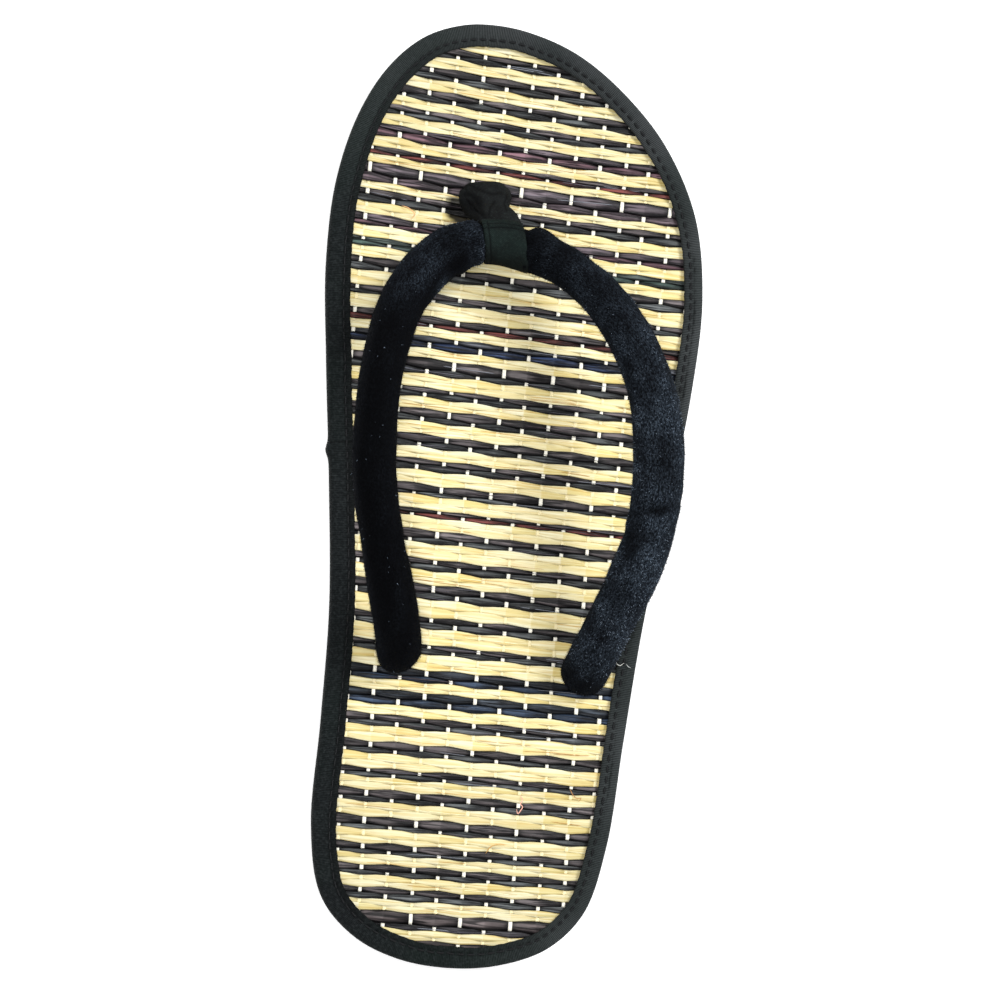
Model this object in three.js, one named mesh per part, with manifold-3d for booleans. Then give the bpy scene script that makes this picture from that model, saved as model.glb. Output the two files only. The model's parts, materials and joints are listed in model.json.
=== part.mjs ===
// Thong sandal for the right foot: foam outsole, woven mat footbed, ribbed tape
// folded round the footbed's rim, one padded roll as the strap, and a tape loop
// that holds the roll down at the toe gap.
// Millimetres. +Z up, +Y to the toe, +X to the outer (lateral) side.
// The origin is on the floor, under the middle of the sole.
import * as THREE from "three";
import { mergeVertices } from "three/addons/utils/BufferGeometryUtils.js";
import Module from "manifold-3d";

const wasm = await Module();
wasm.setup();

// ------------------------------------------------------------------ sizes
const GAP = 0.3; // clearance between neighbouring pieces
const STEPS = 4; // points of the outline between two rows of the table

const HEEL_STACK = 9.4; // outsole thickness under the heel
const BALL_STACK = 7.2; // outsole thickness under the ball
const WEDGE_FROM = -70; // the wedge starts thinning here
const WEDGE_TO = 38; // and ends here
const ARCH_LIFT = 1.3; // underside raised at the waist
const ARCH_FROM = -52;
const ARCH_TO = 18;
const SPRING_FROM = 66; // toe spring starts here
const SPRING_TO = 124.2;
const TOE_SPRING = 4.2; // lift of the tip

const MAT_THICK = 3.6; // woven mat with its backing
const TAPE_THICK = 0.9; // tape with its folded-in hem
const TAPE_TOP_MEDIAL = 6.6; // width of the tape on top, by side
const TAPE_TOP_ENDS = 6.0;
const TAPE_TOP_LATERAL = 5.4;
const TAPE_UNDER = 4.0; // width of the tape under the footbed

// outline of the sole at the tape's outer edge, heel to toe: how far it reaches
// to the medial side and to the lateral side of the heel-to-ball line
const TIP_HEEL = { x: -2.2, y: -124.5 };
const TIP_TOE = { x: -11.8, y: 124.2 };
const OUTLINE = [
  { y: -122.9, medial: -16.0, lateral: 11.2 },
  { y: -117.7, medial: -28.0, lateral: 23.6 },
  { y: -107.8, medial: -37.4, lateral: 32.4 },
  { y: -90.0, medial: -41.5, lateral: 37.0 },
  { y: -62.0, medial: -41.4, lateral: 39.2 },
  { y: -32.0, medial: -41.7, lateral: 41.8 },
  { y: 0.0, medial: -44.5, lateral: 46.0 },
  { y: 32.0, medial: -48.0, lateral: 50.0 },
  { y: 58.0, medial: -50.3, lateral: 50.9 },
  { y: 80.0, medial: -49.5, lateral: 46.9 },
  { y: 98.0, medial: -45.1, lateral: 36.9 },
  { y: 111.0, medial: -38.2, lateral: 23.7 },
  { y: 119.2, medial: -29.8, lateral: 10.8 },
  { y: 123.2, medial: -20.4, lateral: -1.8 },
];

// the strap's roll, from the medial hole over the toe gap to the lateral hole:
// centre of the section, height over the mat, full width and thickness, and the
// lean of its broad face away from the foot
const ROLL = [
  { x: -22.4, y: -43.0, high: -5.0, wide: 9.4, thick: 7.2, lean: 0 },
  { x: -22.4, y: -42.9, high: 0.6, wide: 11.2, thick: 9.2, lean: 0 },
  { x: -22.9, y: -40.9, high: 7.0, wide: 12.2, thick: 10.8, lean: 4 },
  { x: -24.4, y: -34.6, high: 14.6, wide: 12.3, thick: 11.0, lean: 12 },
  { x: -27.2, y: -25.0, high: 21.8, wide: 12.8, thick: 11.0, lean: 22 },
  { x: -30.9, y: -11.4, high: 29.0, wide: 12.4, thick: 10.5, lean: 38 },
  { x: -34.1, y: 4.2, high: 33.3, wide: 13.0, thick: 10.6, lean: 44 },
  { x: -34.8, y: 20.0, high: 33.4, wide: 12.4, thick: 10.2, lean: 44 },
  { x: -33.5, y: 34.6, high: 29.4, wide: 12.4, thick: 10.4, lean: 36 },
  { x: -29.4, y: 49.0, high: 22.4, wide: 12.5, thick: 10.6, lean: 22 },
  { x: -21.2, y: 60.0, high: 16.2, wide: 12.5, thick: 10.8, lean: 8 },
  { x: -4.7, y: 65.4, high: 13.2, wide: 12.2, thick: 10.4, lean: 0 },
  { x: 9.2, y: 61.7, high: 15.8, wide: 10.8, thick: 10.4, lean: -3 },
  { x: 19.8, y: 53.9, high: 21.0, wide: 10.9, thick: 10.4, lean: -10 },
  { x: 27.9, y: 42.6, high: 27.4, wide: 11.7, thick: 10.6, lean: -18 },
  { x: 33.8, y: 28.2, high: 32.8, wide: 12.3, thick: 10.8, lean: -24 },
  { x: 36.2, y: 12.6, high: 34.7, wide: 12.8, thick: 10.8, lean: -26 },
  { x: 36.2, y: -3.6, high: 31.6, wide: 12.4, thick: 10.8, lean: -22 },
  { x: 33.4, y: -18.2, high: 24.2, wide: 12.6, thick: 10.8, lean: -12 },
  { x: 29.7, y: -31.0, high: 15.4, wide: 12.0, thick: 11.0, lean: -5 },
  { x: 27.0, y: -41.0, high: 7.6, wide: 12.5, thick: 11.0, lean: 0 },
  { x: 26.2, y: -45.0, high: 0.8, wide: 11.8, thick: 9.4, lean: 0 },
  { x: 26.2, y: -45.2, high: -5.0, wide: 9.8, thick: 7.4, lean: 0 },
];
const ROLL_APEX = 11; // row of the table that lies over the toe gap
const ROLL_STEP = 4.2; // distance between two sections
const ROLL_SIDES = 16;

// the loop: a band round the roll at its apex, and the thong that leads from the
// band's front down through the mat; sections of the thong along its way
const BAND_HALF = 5.6; // half its width along the roll
const BAND_TURN = 5; // degrees that its sides stand off the shoe's length
const BAND_THICK = 0.8; // the roll is drawn in by this much under it
const THONG = [
  { x: -5.6, y: 69.8, high: 12.6, wide: 10.6, thick: 3.0, slope: 20 },
  { x: -6.6, y: 72.6, high: 11.0, wide: 9.8, thick: 3.0, slope: 42 },
  { x: -8.2, y: 75.8, high: 7.6, wide: 10.4, thick: 3.6, slope: 50 },
  { x: -9.7, y: 78.6, high: 4.0, wide: 12.8, thick: 5.6, slope: 60 },
  { x: -10.3, y: 79.8, high: 1.6, wide: 13.2, thick: 6.6, slope: 76 },
  { x: -10.5, y: 80.2, high: 0.6, wide: 11.4, thick: 5.8, slope: 86 },
  { x: -10.5, y: 80.3, high: -0.8, wide: 9.6, thick: 4.2, slope: 90 },
  { x: -10.5, y: 80.3, high: -5.0, wide: 9.2, thick: 3.8, slope: 90 },
];

// ------------------------------------------------------------------ helpers
const clamp01 = (t) => Math.min(1, Math.max(0, t));
const smooth = (t) => {
  const c = clamp01(t);
  return c * c * (3 - 2 * c);
};

// height of the outsole's underside and of the footbed's underside along the shoe
function springAt(y) {
  const t = Math.max(0, (y - SPRING_FROM) / (SPRING_TO - SPRING_FROM));
  return TOE_SPRING * t * t;
}
function undersideAt(y) {
  const t = clamp01((y - ARCH_FROM) / (ARCH_TO - ARCH_FROM));
  return springAt(y) + ARCH_LIFT * Math.sin(Math.PI * t) ** 2;
}
function footbedUnderAt(y) {
  const stack = HEEL_STACK + (BALL_STACK - HEEL_STACK) * smooth((y - WEDGE_FROM) / (WEDGE_TO - WEDGE_FROM));
  return springAt(y) + stack + GAP;
}
const matTopAt = (y) => footbedUnderAt(y) + MAT_THICK;

// closed outline, with matching points on the two sides: first the toe tip, then
// down the lateral side, the heel tip, and up the medial side
const down = [...OUTLINE].reverse();
const outlineCurve = new THREE.CatmullRomCurve3(
  [
    new THREE.Vector3(TIP_TOE.x, TIP_TOE.y, 0),
    ...down.map((r) => new THREE.Vector3(r.lateral, r.y, 0)),
    new THREE.Vector3(TIP_HEEL.x, TIP_HEEL.y, 0),
    ...OUTLINE.map((r) => new THREE.Vector3(r.medial, r.y, 0)),
  ],
  true,
  "centripetal",
);
const COUNT = (2 * OUTLINE.length + 2) * STEPS;
const rim = [];
for (let i = 0; i < COUNT; i++) {
  const p = outlineCurve.getPoint(i / COUNT);
  const a = outlineCurve.getPoint((i - 0.35 + COUNT) / COUNT % 1);
  const b = outlineCurve.getPoint(((i + 0.35) / COUNT) % 1);
  const t = new THREE.Vector2(b.x - a.x, b.y - a.y).normalize();
  rim.push({ x: p.x, y: p.y, out: new THREE.Vector2(-t.y, t.x) }); // clockwise walk: out is to the left
}

// one ring of the outline, moved in by `inset`, at the height that `high` gives
function ring(inset, high) {
  return rim.map((p) => {
    const d = typeof inset === "function" ? inset(p) : inset;
    const x = p.x - p.out.x * d;
    const y = p.y - p.out.y * d;
    return new THREE.Vector3(x, y, high(y));
  });
}

class Shell {
  constructor() {
    this.points = [];
    this.faces = [];
  }
  add(points) {
    const first = this.points.length;
    this.points.push(...points);
    return { first, count: points.length };
  }
  // quads between two closed loops of the same length
  band(a, b) {
    const n = a.count;
    for (let i = 0; i < n; i++) {
      const j = (i + 1) % n;
      this.faces.push([a.first + i, a.first + j, b.first + j], [a.first + i, b.first + j, b.first + i]);
    }
  }
  // cap of an outline loop, in strips across the shoe
  strips(a, flip) {
    const n = a.count;
    const h = n / 2;
    const put = (i, j, k) => this.faces.push(flip ? [a.first + i, a.first + k, a.first + j] : [a.first + i, a.first + j, a.first + k]);
    put(0, 1, n - 1);
    for (let i = 1; i < h - 1; i++) {
      put(i, i + 1, n - i);
      put(i + 1, n - i - 1, n - i);
    }
    put(h - 1, h, h + 1);
  }
  fan(a, flip) {
    for (let i = 1; i < a.count - 1; i++) {
      this.faces.push(flip ? [a.first, a.first + i + 1, a.first + i] : [a.first, a.first + i, a.first + i + 1]);
    }
  }
  solid() {
    const flat = new Float32Array(this.points.length * 3);
    this.points.forEach((p, i) => flat.set([p.x, p.y, p.z], i * 3));
    let volume = 0;
    for (const [i, j, k] of this.faces) {
      volume += this.points[i].dot(new THREE.Vector3().crossVectors(this.points[j], this.points[k])) / 6;
    }
    const tri = new Uint32Array(this.faces.length * 3);
    this.faces.forEach(([i, j, k], n) => tri.set(volume > 0 ? [i, j, k] : [i, k, j], n * 3));
    return new wasm.Manifold(new wasm.Mesh({ numProp: 3, vertProperties: flat, triVerts: tri }));
  }
}

// closed tube through sections: each has a centre, two half axes as vectors
function tube(sections, sides, power = 1) {
  const shell = new Shell();
  const loops = sections.map((s) => {
    const pts = [];
    for (let i = 0; i < sides; i++) {
      const a = (2 * Math.PI * i) / sides;
      const c = Math.sign(Math.cos(a)) * Math.abs(Math.cos(a)) ** power;
      const d = Math.sign(Math.sin(a)) * Math.abs(Math.sin(a)) ** power;
      pts.push(s.centre.clone().addScaledVector(s.u, c).addScaledVector(s.v, d));
    }
    return shell.add(pts);
  });
  shell.fan(loops[0], true);
  for (let i = 0; i + 1 < loops.length; i++) shell.band(loops[i], loops[i + 1]);
  shell.fan(loops[loops.length - 1], false);
  return shell.solid();
}

function mesh(name, solid, material) {
  const m = solid.getMesh();
  const geometry = new THREE.BufferGeometry();
  const count = m.vertProperties.length / m.numProp;
  const pos = new Float32Array(count * 3);
  for (let i = 0; i < count; i++) for (let k = 0; k < 3; k++) pos[i * 3 + k] = m.vertProperties[i * m.numProp + k];
  geometry.setAttribute("position", new THREE.BufferAttribute(pos, 3));
  geometry.setIndex(new THREE.BufferAttribute(new Uint32Array(m.triVerts), 1));
  geometry.computeVertexNormals();
  const made = new THREE.Mesh(geometry, material);
  made.name = name;
  return made;
}

// ------------------------------------------------------------------ smooth tables
// every column of a table run through one smooth curve, read by the distance
// travelled along the rows
class Track {
  constructor(rows, columns) {
    this.rows = rows;
    this.columns = columns;
    this.at = [0];
    for (let i = 1; i < rows.length; i++) {
      const a = rows[i - 1];
      const b = rows[i];
      this.at.push(this.at[i - 1] + Math.hypot(b.x - a.x, b.y - a.y, b.high - a.high));
    }
    this.length = this.at[this.at.length - 1];
  }
  slope(column, i) {
    const n = this.rows.length - 1;
    const step = (k) => (this.rows[k + 1][column] - this.rows[k][column]) / (this.at[k + 1] - this.at[k]);
    if (i === 0) return step(0);
    if (i === n) return step(n - 1);
    const before = this.at[i] - this.at[i - 1];
    const after = this.at[i + 1] - this.at[i];
    return (step(i - 1) * after + step(i) * before) / (before + after);
  }
  read(s) {
    let i = 0;
    while (i < this.at.length - 2 && s > this.at[i + 1]) i++;
    const w = this.at[i + 1] - this.at[i];
    const t = (s - this.at[i]) / w;
    const row = { s };
    for (const c of this.columns) {
      const p = this.rows[i][c];
      const q = this.rows[i + 1][c];
      const m = this.slope(c, i) * w;
      const n = this.slope(c, i + 1) * w;
      row[c] = (2 * t ** 3 - 3 * t ** 2 + 1) * p + (t ** 3 - 2 * t ** 2 + t) * m + (3 * t ** 2 - 2 * t ** 3) * q + (t ** 3 - t ** 2) * n;
    }
    return row;
  }
}
const overMat = (r) => new THREE.Vector3(r.x, r.y, matTopAt(r.y) + r.high);

// ------------------------------------------------------------------ strap roll
const rollTrack = new Track(ROLL, ["x", "y", "high", "wide", "thick", "lean"]);
const apexAt = rollTrack.at[ROLL_APEX];
const bandEdge = [-8.6, -7.4, -6.6, -5.8, -3.8, -1.9, 0, 1.9, 3.8, 5.8, 6.6, 7.4, 8.6];
const stations = [];
{
  const low = apexAt + bandEdge[0];
  const high = apexAt + bandEdge[bandEdge.length - 1];
  const before = Math.round(low / ROLL_STEP);
  const after = Math.round((rollTrack.length - high) / ROLL_STEP);
  for (let i = 0; i < before; i++) stations.push((low * i) / before);
  for (const d of bandEdge) stations.push(apexAt + d);
  for (let i = 1; i <= after; i++) stations.push(high + ((rollTrack.length - high) * i) / after);
}
const rollRows = stations.map((s) => rollTrack.read(s));
const rollCentres = rollRows.map(overMat);
const rollTangents = rollCentres.map((_, i) => {
  const s = stations[i];
  const a = overMat(rollTrack.read(Math.max(0, s - 0.5)));
  const b = overMat(rollTrack.read(Math.min(rollTrack.length, s + 0.5)));
  return b.sub(a).normalize();
});
// the broad face looks up at the apex and is carried from there along both arms
const apex = stations.indexOf(apexAt);
const rollFaces = [];
{
  const t = rollTangents[apex];
  rollFaces[apex] = new THREE.Vector3(0, 0, 1).addScaledVector(t, -t.z).normalize();
  for (const step of [1, -1]) {
    for (let i = apex + step; i >= 0 && i < rollCentres.length; i += step) {
      const turn = new THREE.Quaternion().setFromUnitVectors(rollTangents[i - step], rollTangents[i]);
      rollFaces[i] = rollFaces[i - step].clone().applyQuaternion(turn);
      rollFaces[i].addScaledVector(rollTangents[i], -rollFaces[i].dot(rollTangents[i])).normalize();
    }
  }
}
function rollSection(i, extra) {
  const r = rollRows[i];
  const t = rollTangents[i];
  const face = rollFaces[i].clone().applyAxisAngle(t, THREE.MathUtils.degToRad(r.lean));
  const side = new THREE.Vector3().crossVectors(t, face).normalize();
  const drawnIn = (GAP + BAND_THICK) * (1 - smooth((Math.abs(r.s - apexAt) - BAND_HALF - 0.5) / 2.2));
  return {
    centre: rollCentres[i].clone(),
    u: side.multiplyScalar(r.wide / 2 + extra - drawnIn),
    v: face.multiplyScalar(r.thick / 2 + extra - drawnIn),
  };
}
// the roll's shape, or with `extra` the room it needs, longer by as much at both ends
function rollTube(extra) {
  const sections = rollRows.map((_, i) => rollSection(i, extra));
  if (extra > 0) {
    const n = sections.length - 1;
    sections[0].centre.addScaledVector(rollTangents[0], -extra);
    sections[n].centre.addScaledVector(rollTangents[n], extra);
  }
  return tube(sections, ROLL_SIDES);
}
const roll = rollTube(0);
const rollRoom = rollTube(GAP);

// ------------------------------------------------------------------ toe loop
// the band: a stretch of the thickened roll, cut to its width between two parallel planes
function bandSlab() {
  const g = new THREE.BoxGeometry(2 * BAND_HALF, 30, 30);
  g.rotateZ(THREE.MathUtils.degToRad(BAND_TURN));
  g.translate(rollCentres[apex].x, rollCentres[apex].y, rollCentres[apex].z);
  g.deleteAttribute("normal");
  g.deleteAttribute("uv");
  const m = mergeVertices(g);
  return new wasm.Manifold(new wasm.Mesh({ numProp: 3, vertProperties: m.attributes.position.array, triVerts: new Uint32Array(m.index.array) }));
}
const bandRows = rollRows.map((_, i) => i).filter((i) => Math.abs(rollRows[i].s - apexAt) <= BAND_HALF + 2);
const bandOuter = tube(bandRows.map((i) => rollSection(i, GAP + BAND_THICK)), ROLL_SIDES).intersect(bandSlab());

const thongTrack = new Track(THONG, ["x", "y", "high", "wide", "thick", "slope"]);
function thongTube(extra) {
  const sections = [];
  const count = 15;
  for (let i = 0; i < count; i++) {
    const r = thongTrack.read((thongTrack.length * i) / (count - 1));
    const a = THREE.MathUtils.degToRad(r.slope);
    const across = new THREE.Vector3(1, 0.12, 0).normalize();
    const along = new THREE.Vector3(0, Math.cos(a), -Math.sin(a));
    const face = new THREE.Vector3().crossVectors(along, across).normalize();
    const centre = overMat(r);
    if (i === count - 1) centre.z -= extra;
    sections.push({
      centre,
      u: across.clone().multiplyScalar(r.wide / 2 + extra),
      v: face.multiplyScalar(r.thick / 2 + extra),
    });
  }
  return tube(sections, 14, 0.75);
}
const thongRoom = thongTube(GAP);
const loop = bandOuter.add(thongTube(0)).subtract(rollRoom);

// ------------------------------------------------------------------ footbed
const under = (d) => (y) => footbedUnderAt(y) + d;
const rimSide = TAPE_THICK + GAP;
function footbed() {
  const s = new Shell();
  const loops = [
    s.add(ring(rimSide + 0.9, under(0))),
    s.add(ring(rimSide + 0.3, under(0.6))),
    s.add(ring(rimSide + 0.3, under(MAT_THICK - 0.6))),
    s.add(ring(rimSide + 0.9, under(MAT_THICK))),
  ];
  s.strips(loops[0], true);
  for (let i = 0; i + 1 < loops.length; i++) s.band(loops[i], loops[i + 1]);
  s.strips(loops[3], false);
  return s.solid();
}
const footbedSolid = footbed().subtract(rollRoom).subtract(thongRoom);

// ------------------------------------------------------------------ tape round the rim
function tapeWidth(p) {
  const half = (TAPE_TOP_LATERAL - TAPE_TOP_MEDIAL) / 2;
  return TAPE_TOP_ENDS + half * p.out.x;
}
function binding() {
  const top = MAT_THICK + GAP;
  const s = new Shell();
  const profile = [
    [TAPE_UNDER, -GAP - TAPE_THICK],
    [1.5, -GAP - TAPE_THICK],
    [0.35, -0.3],
    [0.0, MAT_THICK / 2],
    [0.3, MAT_THICK + 0.2],
    [1.5, top + TAPE_THICK],
    [(p) => tapeWidth(p) - 0.5, top + TAPE_THICK],
    [tapeWidth, top + TAPE_THICK * 0.6],
    [tapeWidth, top],
    [rimSide + 0.6, top],
    [rimSide, MAT_THICK - 0.5],
    [rimSide, 0.5],
    [rimSide + 0.6, -GAP],
    [TAPE_UNDER, -GAP],
  ];
  const loops = profile.map(([d, z]) => s.add(ring(d, under(z))));
  for (let i = 0; i < loops.length; i++) s.band(loops[i], loops[(i + 1) % loops.length]);
  return s.solid();
}

// ------------------------------------------------------------------ outsole
function outsole() {
  const s = new Shell();
  const floor = (d) => (y) => undersideAt(y) + d;
  const shelf = -GAP - TAPE_THICK - GAP; // step that the folded tape lies in
  const loops = [
    s.add(ring(3.4, floor(0))),
    s.add(ring(1.7, floor(0.6))),
    s.add(ring(1.0, floor(2.0))),
    s.add(ring(0.8, under(shelf - 0.8))),
    s.add(ring(1.3, under(shelf))),
    s.add(ring(TAPE_UNDER + GAP, under(shelf))),
    s.add(ring(TAPE_UNDER + GAP + 0.1, under(-GAP))),
  ];
  s.strips(loops[0], true);
  for (let i = 0; i + 1 < loops.length; i++) s.band(loops[i], loops[i + 1]);
  s.strips(loops[loops.length - 1], false);
  return s.solid();
}
const outsoleSolid = outsole().subtract(rollRoom).subtract(thongRoom);

// ------------------------------------------------------------------ assembly
const foam = new THREE.MeshStandardMaterial({ color: 0x17181a, roughness: 0.85, metalness: 0 });
const straw = new THREE.MeshStandardMaterial({ color: 0xb9a468, roughness: 0.6, metalness: 0 });
const tape = new THREE.MeshStandardMaterial({ color: 0x1f2524, roughness: 0.9, metalness: 0 });
const velvet = new THREE.MeshStandardMaterial({ color: 0x0b0e16, roughness: 0.95, metalness: 0 });
const twill = new THREE.MeshStandardMaterial({ color: 0x151a1a, roughness: 0.9, metalness: 0 });

const sandal = new THREE.Group();
sandal.name = "sandal_right";
const sole = new THREE.Group();
sole.name = "sole_unit";
sole.add(mesh("outsole", outsoleSolid, foam));
sole.add(mesh("footbed_mat", footbedSolid, straw));
sole.add(mesh("edge_binding", binding(), tape));
const upper = new THREE.Group();
upper.name = "upper";
upper.add(mesh("strap_roll", roll, velvet));
upper.add(mesh("toe_loop", loop, twill));
sandal.add(sole, upper);

export default sandal;
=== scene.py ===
import json
import math

import bpy
import numpy as np
from mathutils import Matrix, Vector

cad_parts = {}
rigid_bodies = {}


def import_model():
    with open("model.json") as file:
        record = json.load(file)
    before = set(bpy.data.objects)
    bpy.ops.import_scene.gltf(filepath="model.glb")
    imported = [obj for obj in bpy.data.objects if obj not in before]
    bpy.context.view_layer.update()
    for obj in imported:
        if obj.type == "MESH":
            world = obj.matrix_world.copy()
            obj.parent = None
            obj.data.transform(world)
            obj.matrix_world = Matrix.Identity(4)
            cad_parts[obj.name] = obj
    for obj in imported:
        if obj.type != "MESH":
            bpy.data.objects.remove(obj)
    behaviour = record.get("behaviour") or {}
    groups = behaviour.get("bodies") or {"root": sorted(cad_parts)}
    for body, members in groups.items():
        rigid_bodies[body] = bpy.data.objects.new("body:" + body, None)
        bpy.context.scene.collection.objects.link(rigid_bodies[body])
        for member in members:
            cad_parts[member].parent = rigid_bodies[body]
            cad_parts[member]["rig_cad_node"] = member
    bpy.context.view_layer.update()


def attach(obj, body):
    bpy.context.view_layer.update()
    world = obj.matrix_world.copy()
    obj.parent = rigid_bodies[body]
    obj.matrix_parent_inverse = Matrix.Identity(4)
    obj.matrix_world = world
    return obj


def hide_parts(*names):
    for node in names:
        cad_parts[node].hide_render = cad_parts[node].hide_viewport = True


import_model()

MM = 0.001
rng = np.random.default_rng(7)

# ------------------------------------------------------------------ the shoe's own sizes, in mm
GAP = 0.3
HEEL_STACK, BALL_STACK = 9.4, 7.2
WEDGE_FROM, WEDGE_TO = -70.0, 38.0
ARCH_LIFT, ARCH_FROM, ARCH_TO = 1.3, -52.0, 18.0
SPRING_FROM, SPRING_TO, TOE_SPRING = 66.0, 124.2, 4.2
MAT_THICK, TAPE_THICK = 3.6, 0.9
TAPE_TOP_MEDIAL, TAPE_TOP_ENDS, TAPE_TOP_LATERAL, TAPE_UNDER = 6.6, 6.0, 5.4, 4.0
TIP_HEEL, TIP_TOE = (-2.2, -124.5), (-11.8, 124.2)
OUTLINE = [  # y, medial reach, lateral reach
    (-122.9, -16.0, 11.2), (-117.7, -28.0, 23.6), (-107.8, -37.4, 32.4), (-90.0, -41.5, 37.0),
    (-62.0, -41.4, 39.2), (-32.0, -41.7, 41.8), (0.0, -44.5, 46.0), (32.0, -48.0, 50.0),
    (58.0, -50.3, 50.9), (80.0, -49.5, 46.9), (98.0, -45.1, 36.9), (111.0, -38.2, 23.7),
    (119.2, -29.8, 10.8), (123.2, -20.4, -1.8),
]
ROLL = [  # x, y, height over the mat, wide, thick, lean
    (-22.4, -43.0, -5.0, 9.4, 7.2, 0), (-22.4, -42.9, 0.6, 11.2, 9.2, 0), (-22.9, -40.9, 7.0, 12.2, 10.8, 4),
    (-24.4, -34.6, 14.6, 12.3, 11.0, 12), (-27.2, -25.0, 21.8, 12.8, 11.0, 22), (-30.9, -11.4, 29.0, 12.4, 10.5, 38),
    (-34.1, 4.2, 33.3, 13.0, 10.6, 44), (-34.8, 20.0, 33.4, 12.4, 10.2, 44), (-33.5, 34.6, 29.4, 12.4, 10.4, 36),
    (-29.4, 49.0, 22.4, 12.5, 10.6, 22), (-21.2, 60.0, 16.2, 12.5, 10.8, 8), (-4.7, 65.4, 13.2, 12.2, 10.4, 0),
    (9.2, 61.7, 15.8, 10.8, 10.4, -3), (19.8, 53.9, 21.0, 10.9, 10.4, -10), (27.9, 42.6, 27.4, 11.7, 10.6, -18),
    (33.8, 28.2, 32.8, 12.3, 10.8, -24), (36.2, 12.6, 34.7, 12.8, 10.8, -26), (36.2, -3.6, 31.6, 12.4, 10.8, -22),
    (33.4, -18.2, 24.2, 12.6, 10.8, -12), (29.7, -31.0, 15.4, 12.0, 11.0, -5), (27.0, -41.0, 7.6, 12.5, 11.0, 0),
    (26.2, -45.0, 0.8, 11.8, 9.4, 0), (26.2, -45.2, -5.0, 9.8, 7.4, 0),
]
ROLL_APEX = 11
BAND_HALF, BAND_TURN, BAND_THICK = 5.6, 5.0, 0.8
# the loop as it sits in the photo: a little narrower, shifted to the medial side and turned more
LOOP_HALF, LOOP_SHIFT, LOOP_TURN = 5.3, 0.5, 11.0
THONG = [  # x, y, height over the mat, wide, thick, slope
    (-5.6, 69.8, 12.6, 10.6, 3.0, 20), (-6.6, 72.6, 11.0, 9.8, 3.0, 42), (-8.2, 75.8, 7.6, 10.4, 3.6, 50),
    (-9.7, 78.6, 4.0, 12.8, 5.6, 60), (-10.3, 79.8, 1.6, 13.2, 6.6, 76), (-10.5, 80.2, 0.6, 11.4, 5.8, 86),
    (-10.5, 80.3, -0.8, 9.6, 4.2, 90), (-10.5, 80.3, -5.0, 9.2, 3.8, 90),
]

# the weave: each natural band's middle on the line x = 2, its width, how much of it the
# upper of its two picks takes, and the dyed pair on its toe side: share of the upper one, kind
BANDS = [
    (-122.8, 3.0, 0.50, 0.50, "umber"), (-116.4, 2.7, 0.52, 0.69, "umber"), (-109.2, 2.9, 0.46, 0.52, "plain"),
    (-103.1, 3.1, 0.50, 0.59, "plain"), (-97.4, 2.6, 0.48, 0.61, "plain"), (-91.5, 3.6, 0.55, 0.64, "plain"),
    (-84.4, 3.7, 0.50, 0.59, "plain"), (-77.7, 3.1, 0.46, 0.53, "plain"), (-71.8, 3.6, 0.52, 0.57, "plain"),
    (-64.8, 4.0, 0.46, 0.53, "plain"), (-58.3, 2.7, 0.50, 0.51, "glue"), (-51.8, 2.5, 0.50, 0.53, "glue"),
    (-45.0, 3.9, 0.55, 0.48, "plain"), (-38.3, 4.2, 0.48, 0.51, "plain"), (-30.9, 4.4, 0.50, 0.53, "plain"),
    (-22.9, 3.5, 0.52, 0.46, "plain"), (-15.9, 4.1, 0.46, 0.59, "plain"), (-8.9, 3.5, 0.50, 0.50, "russet"),
    (-3.4, 3.5, 0.53, 0.70, "plain"), (3.2, 3.5, 0.50, 0.48, "plain"), (9.4, 2.9, 0.50, 0.52, "plain"),
    (15.9, 3.2, 0.47, 0.55, "plain"), (22.6, 2.9, 0.50, 0.47, "plain"), (28.4, 3.4, 0.52, 0.63, "plain"),
    (35.6, 2.5, 0.50, 0.44, "blue"), (41.3, 2.2, 0.48, 0.58, "russet"), (47.2, 3.6, 0.50, 0.60, "plain"),
    (53.2, 3.6, 0.52, 0.50, "plain"), (59.9, 2.7, 0.48, 0.50, "green"), (65.1, 2.8, 0.50, 0.64, "plum"),
    (71.0, 3.0, 0.52, 0.48, "plain"), (76.8, 2.0, 0.50, 0.62, "plum_wide"), (83.9, 2.1, 0.48, 0.53, "russet"),
    (88.4, 2.8, 0.52, 0.44, "plum"), (94.5, 2.6, 0.50, 0.51, "plain"), (99.6, 2.2, 0.50, 0.51, "plain"),
    (105.2, 2.8, 0.47, 0.55, "plain"), (111.2, 2.6, 0.50, 0.50, "plain"), (116.6, 2.4, 0.52, 0.50, "plain"),
    (121.6, 2.6, 0.50, 0.50, "plain"),
]
# colour of the upper and the lower dyed pick of each kind, sRGB: shown where the painted highlight lies, the rest of
# the pick near black
DYES = {
    "plain": ((92, 86, 87), (80, 83, 84)),
    "blue": ((82, 84, 90), (54, 68, 100)),
    "green": ((82, 92, 88), (74, 92, 86)),
    "umber": ((90, 82, 82), (74, 72, 76)),
    "glue": ((56, 62, 70), (50, 62, 80)),
    "russet": ((88, 82, 82), (112, 62, 58)),
    "plum": ((100, 90, 96), (116, 88, 96)),
    "plum_wide": ((108, 98, 104), (108, 94, 100)),
}
WARP_PITCH = 6.75
WARP_WIDE = 1.0


def clamp01(t):
    return np.clip(t, 0.0, 1.0)


def smooth(t):
    c = clamp01(t)
    return c * c * (3 - 2 * c)


def spring_at(y):
    t = np.maximum(0.0, (y - SPRING_FROM) / (SPRING_TO - SPRING_FROM))
    return TOE_SPRING * t * t


def underside_at(y):
    t = clamp01((y - ARCH_FROM) / (ARCH_TO - ARCH_FROM))
    return spring_at(y) + ARCH_LIFT * np.sin(math.pi * t) ** 2


def under_at(y):
    stack = HEEL_STACK + (BALL_STACK - HEEL_STACK) * smooth((y - WEDGE_FROM) / (WEDGE_TO - WEDGE_FROM))
    return spring_at(y) + stack + GAP


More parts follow.
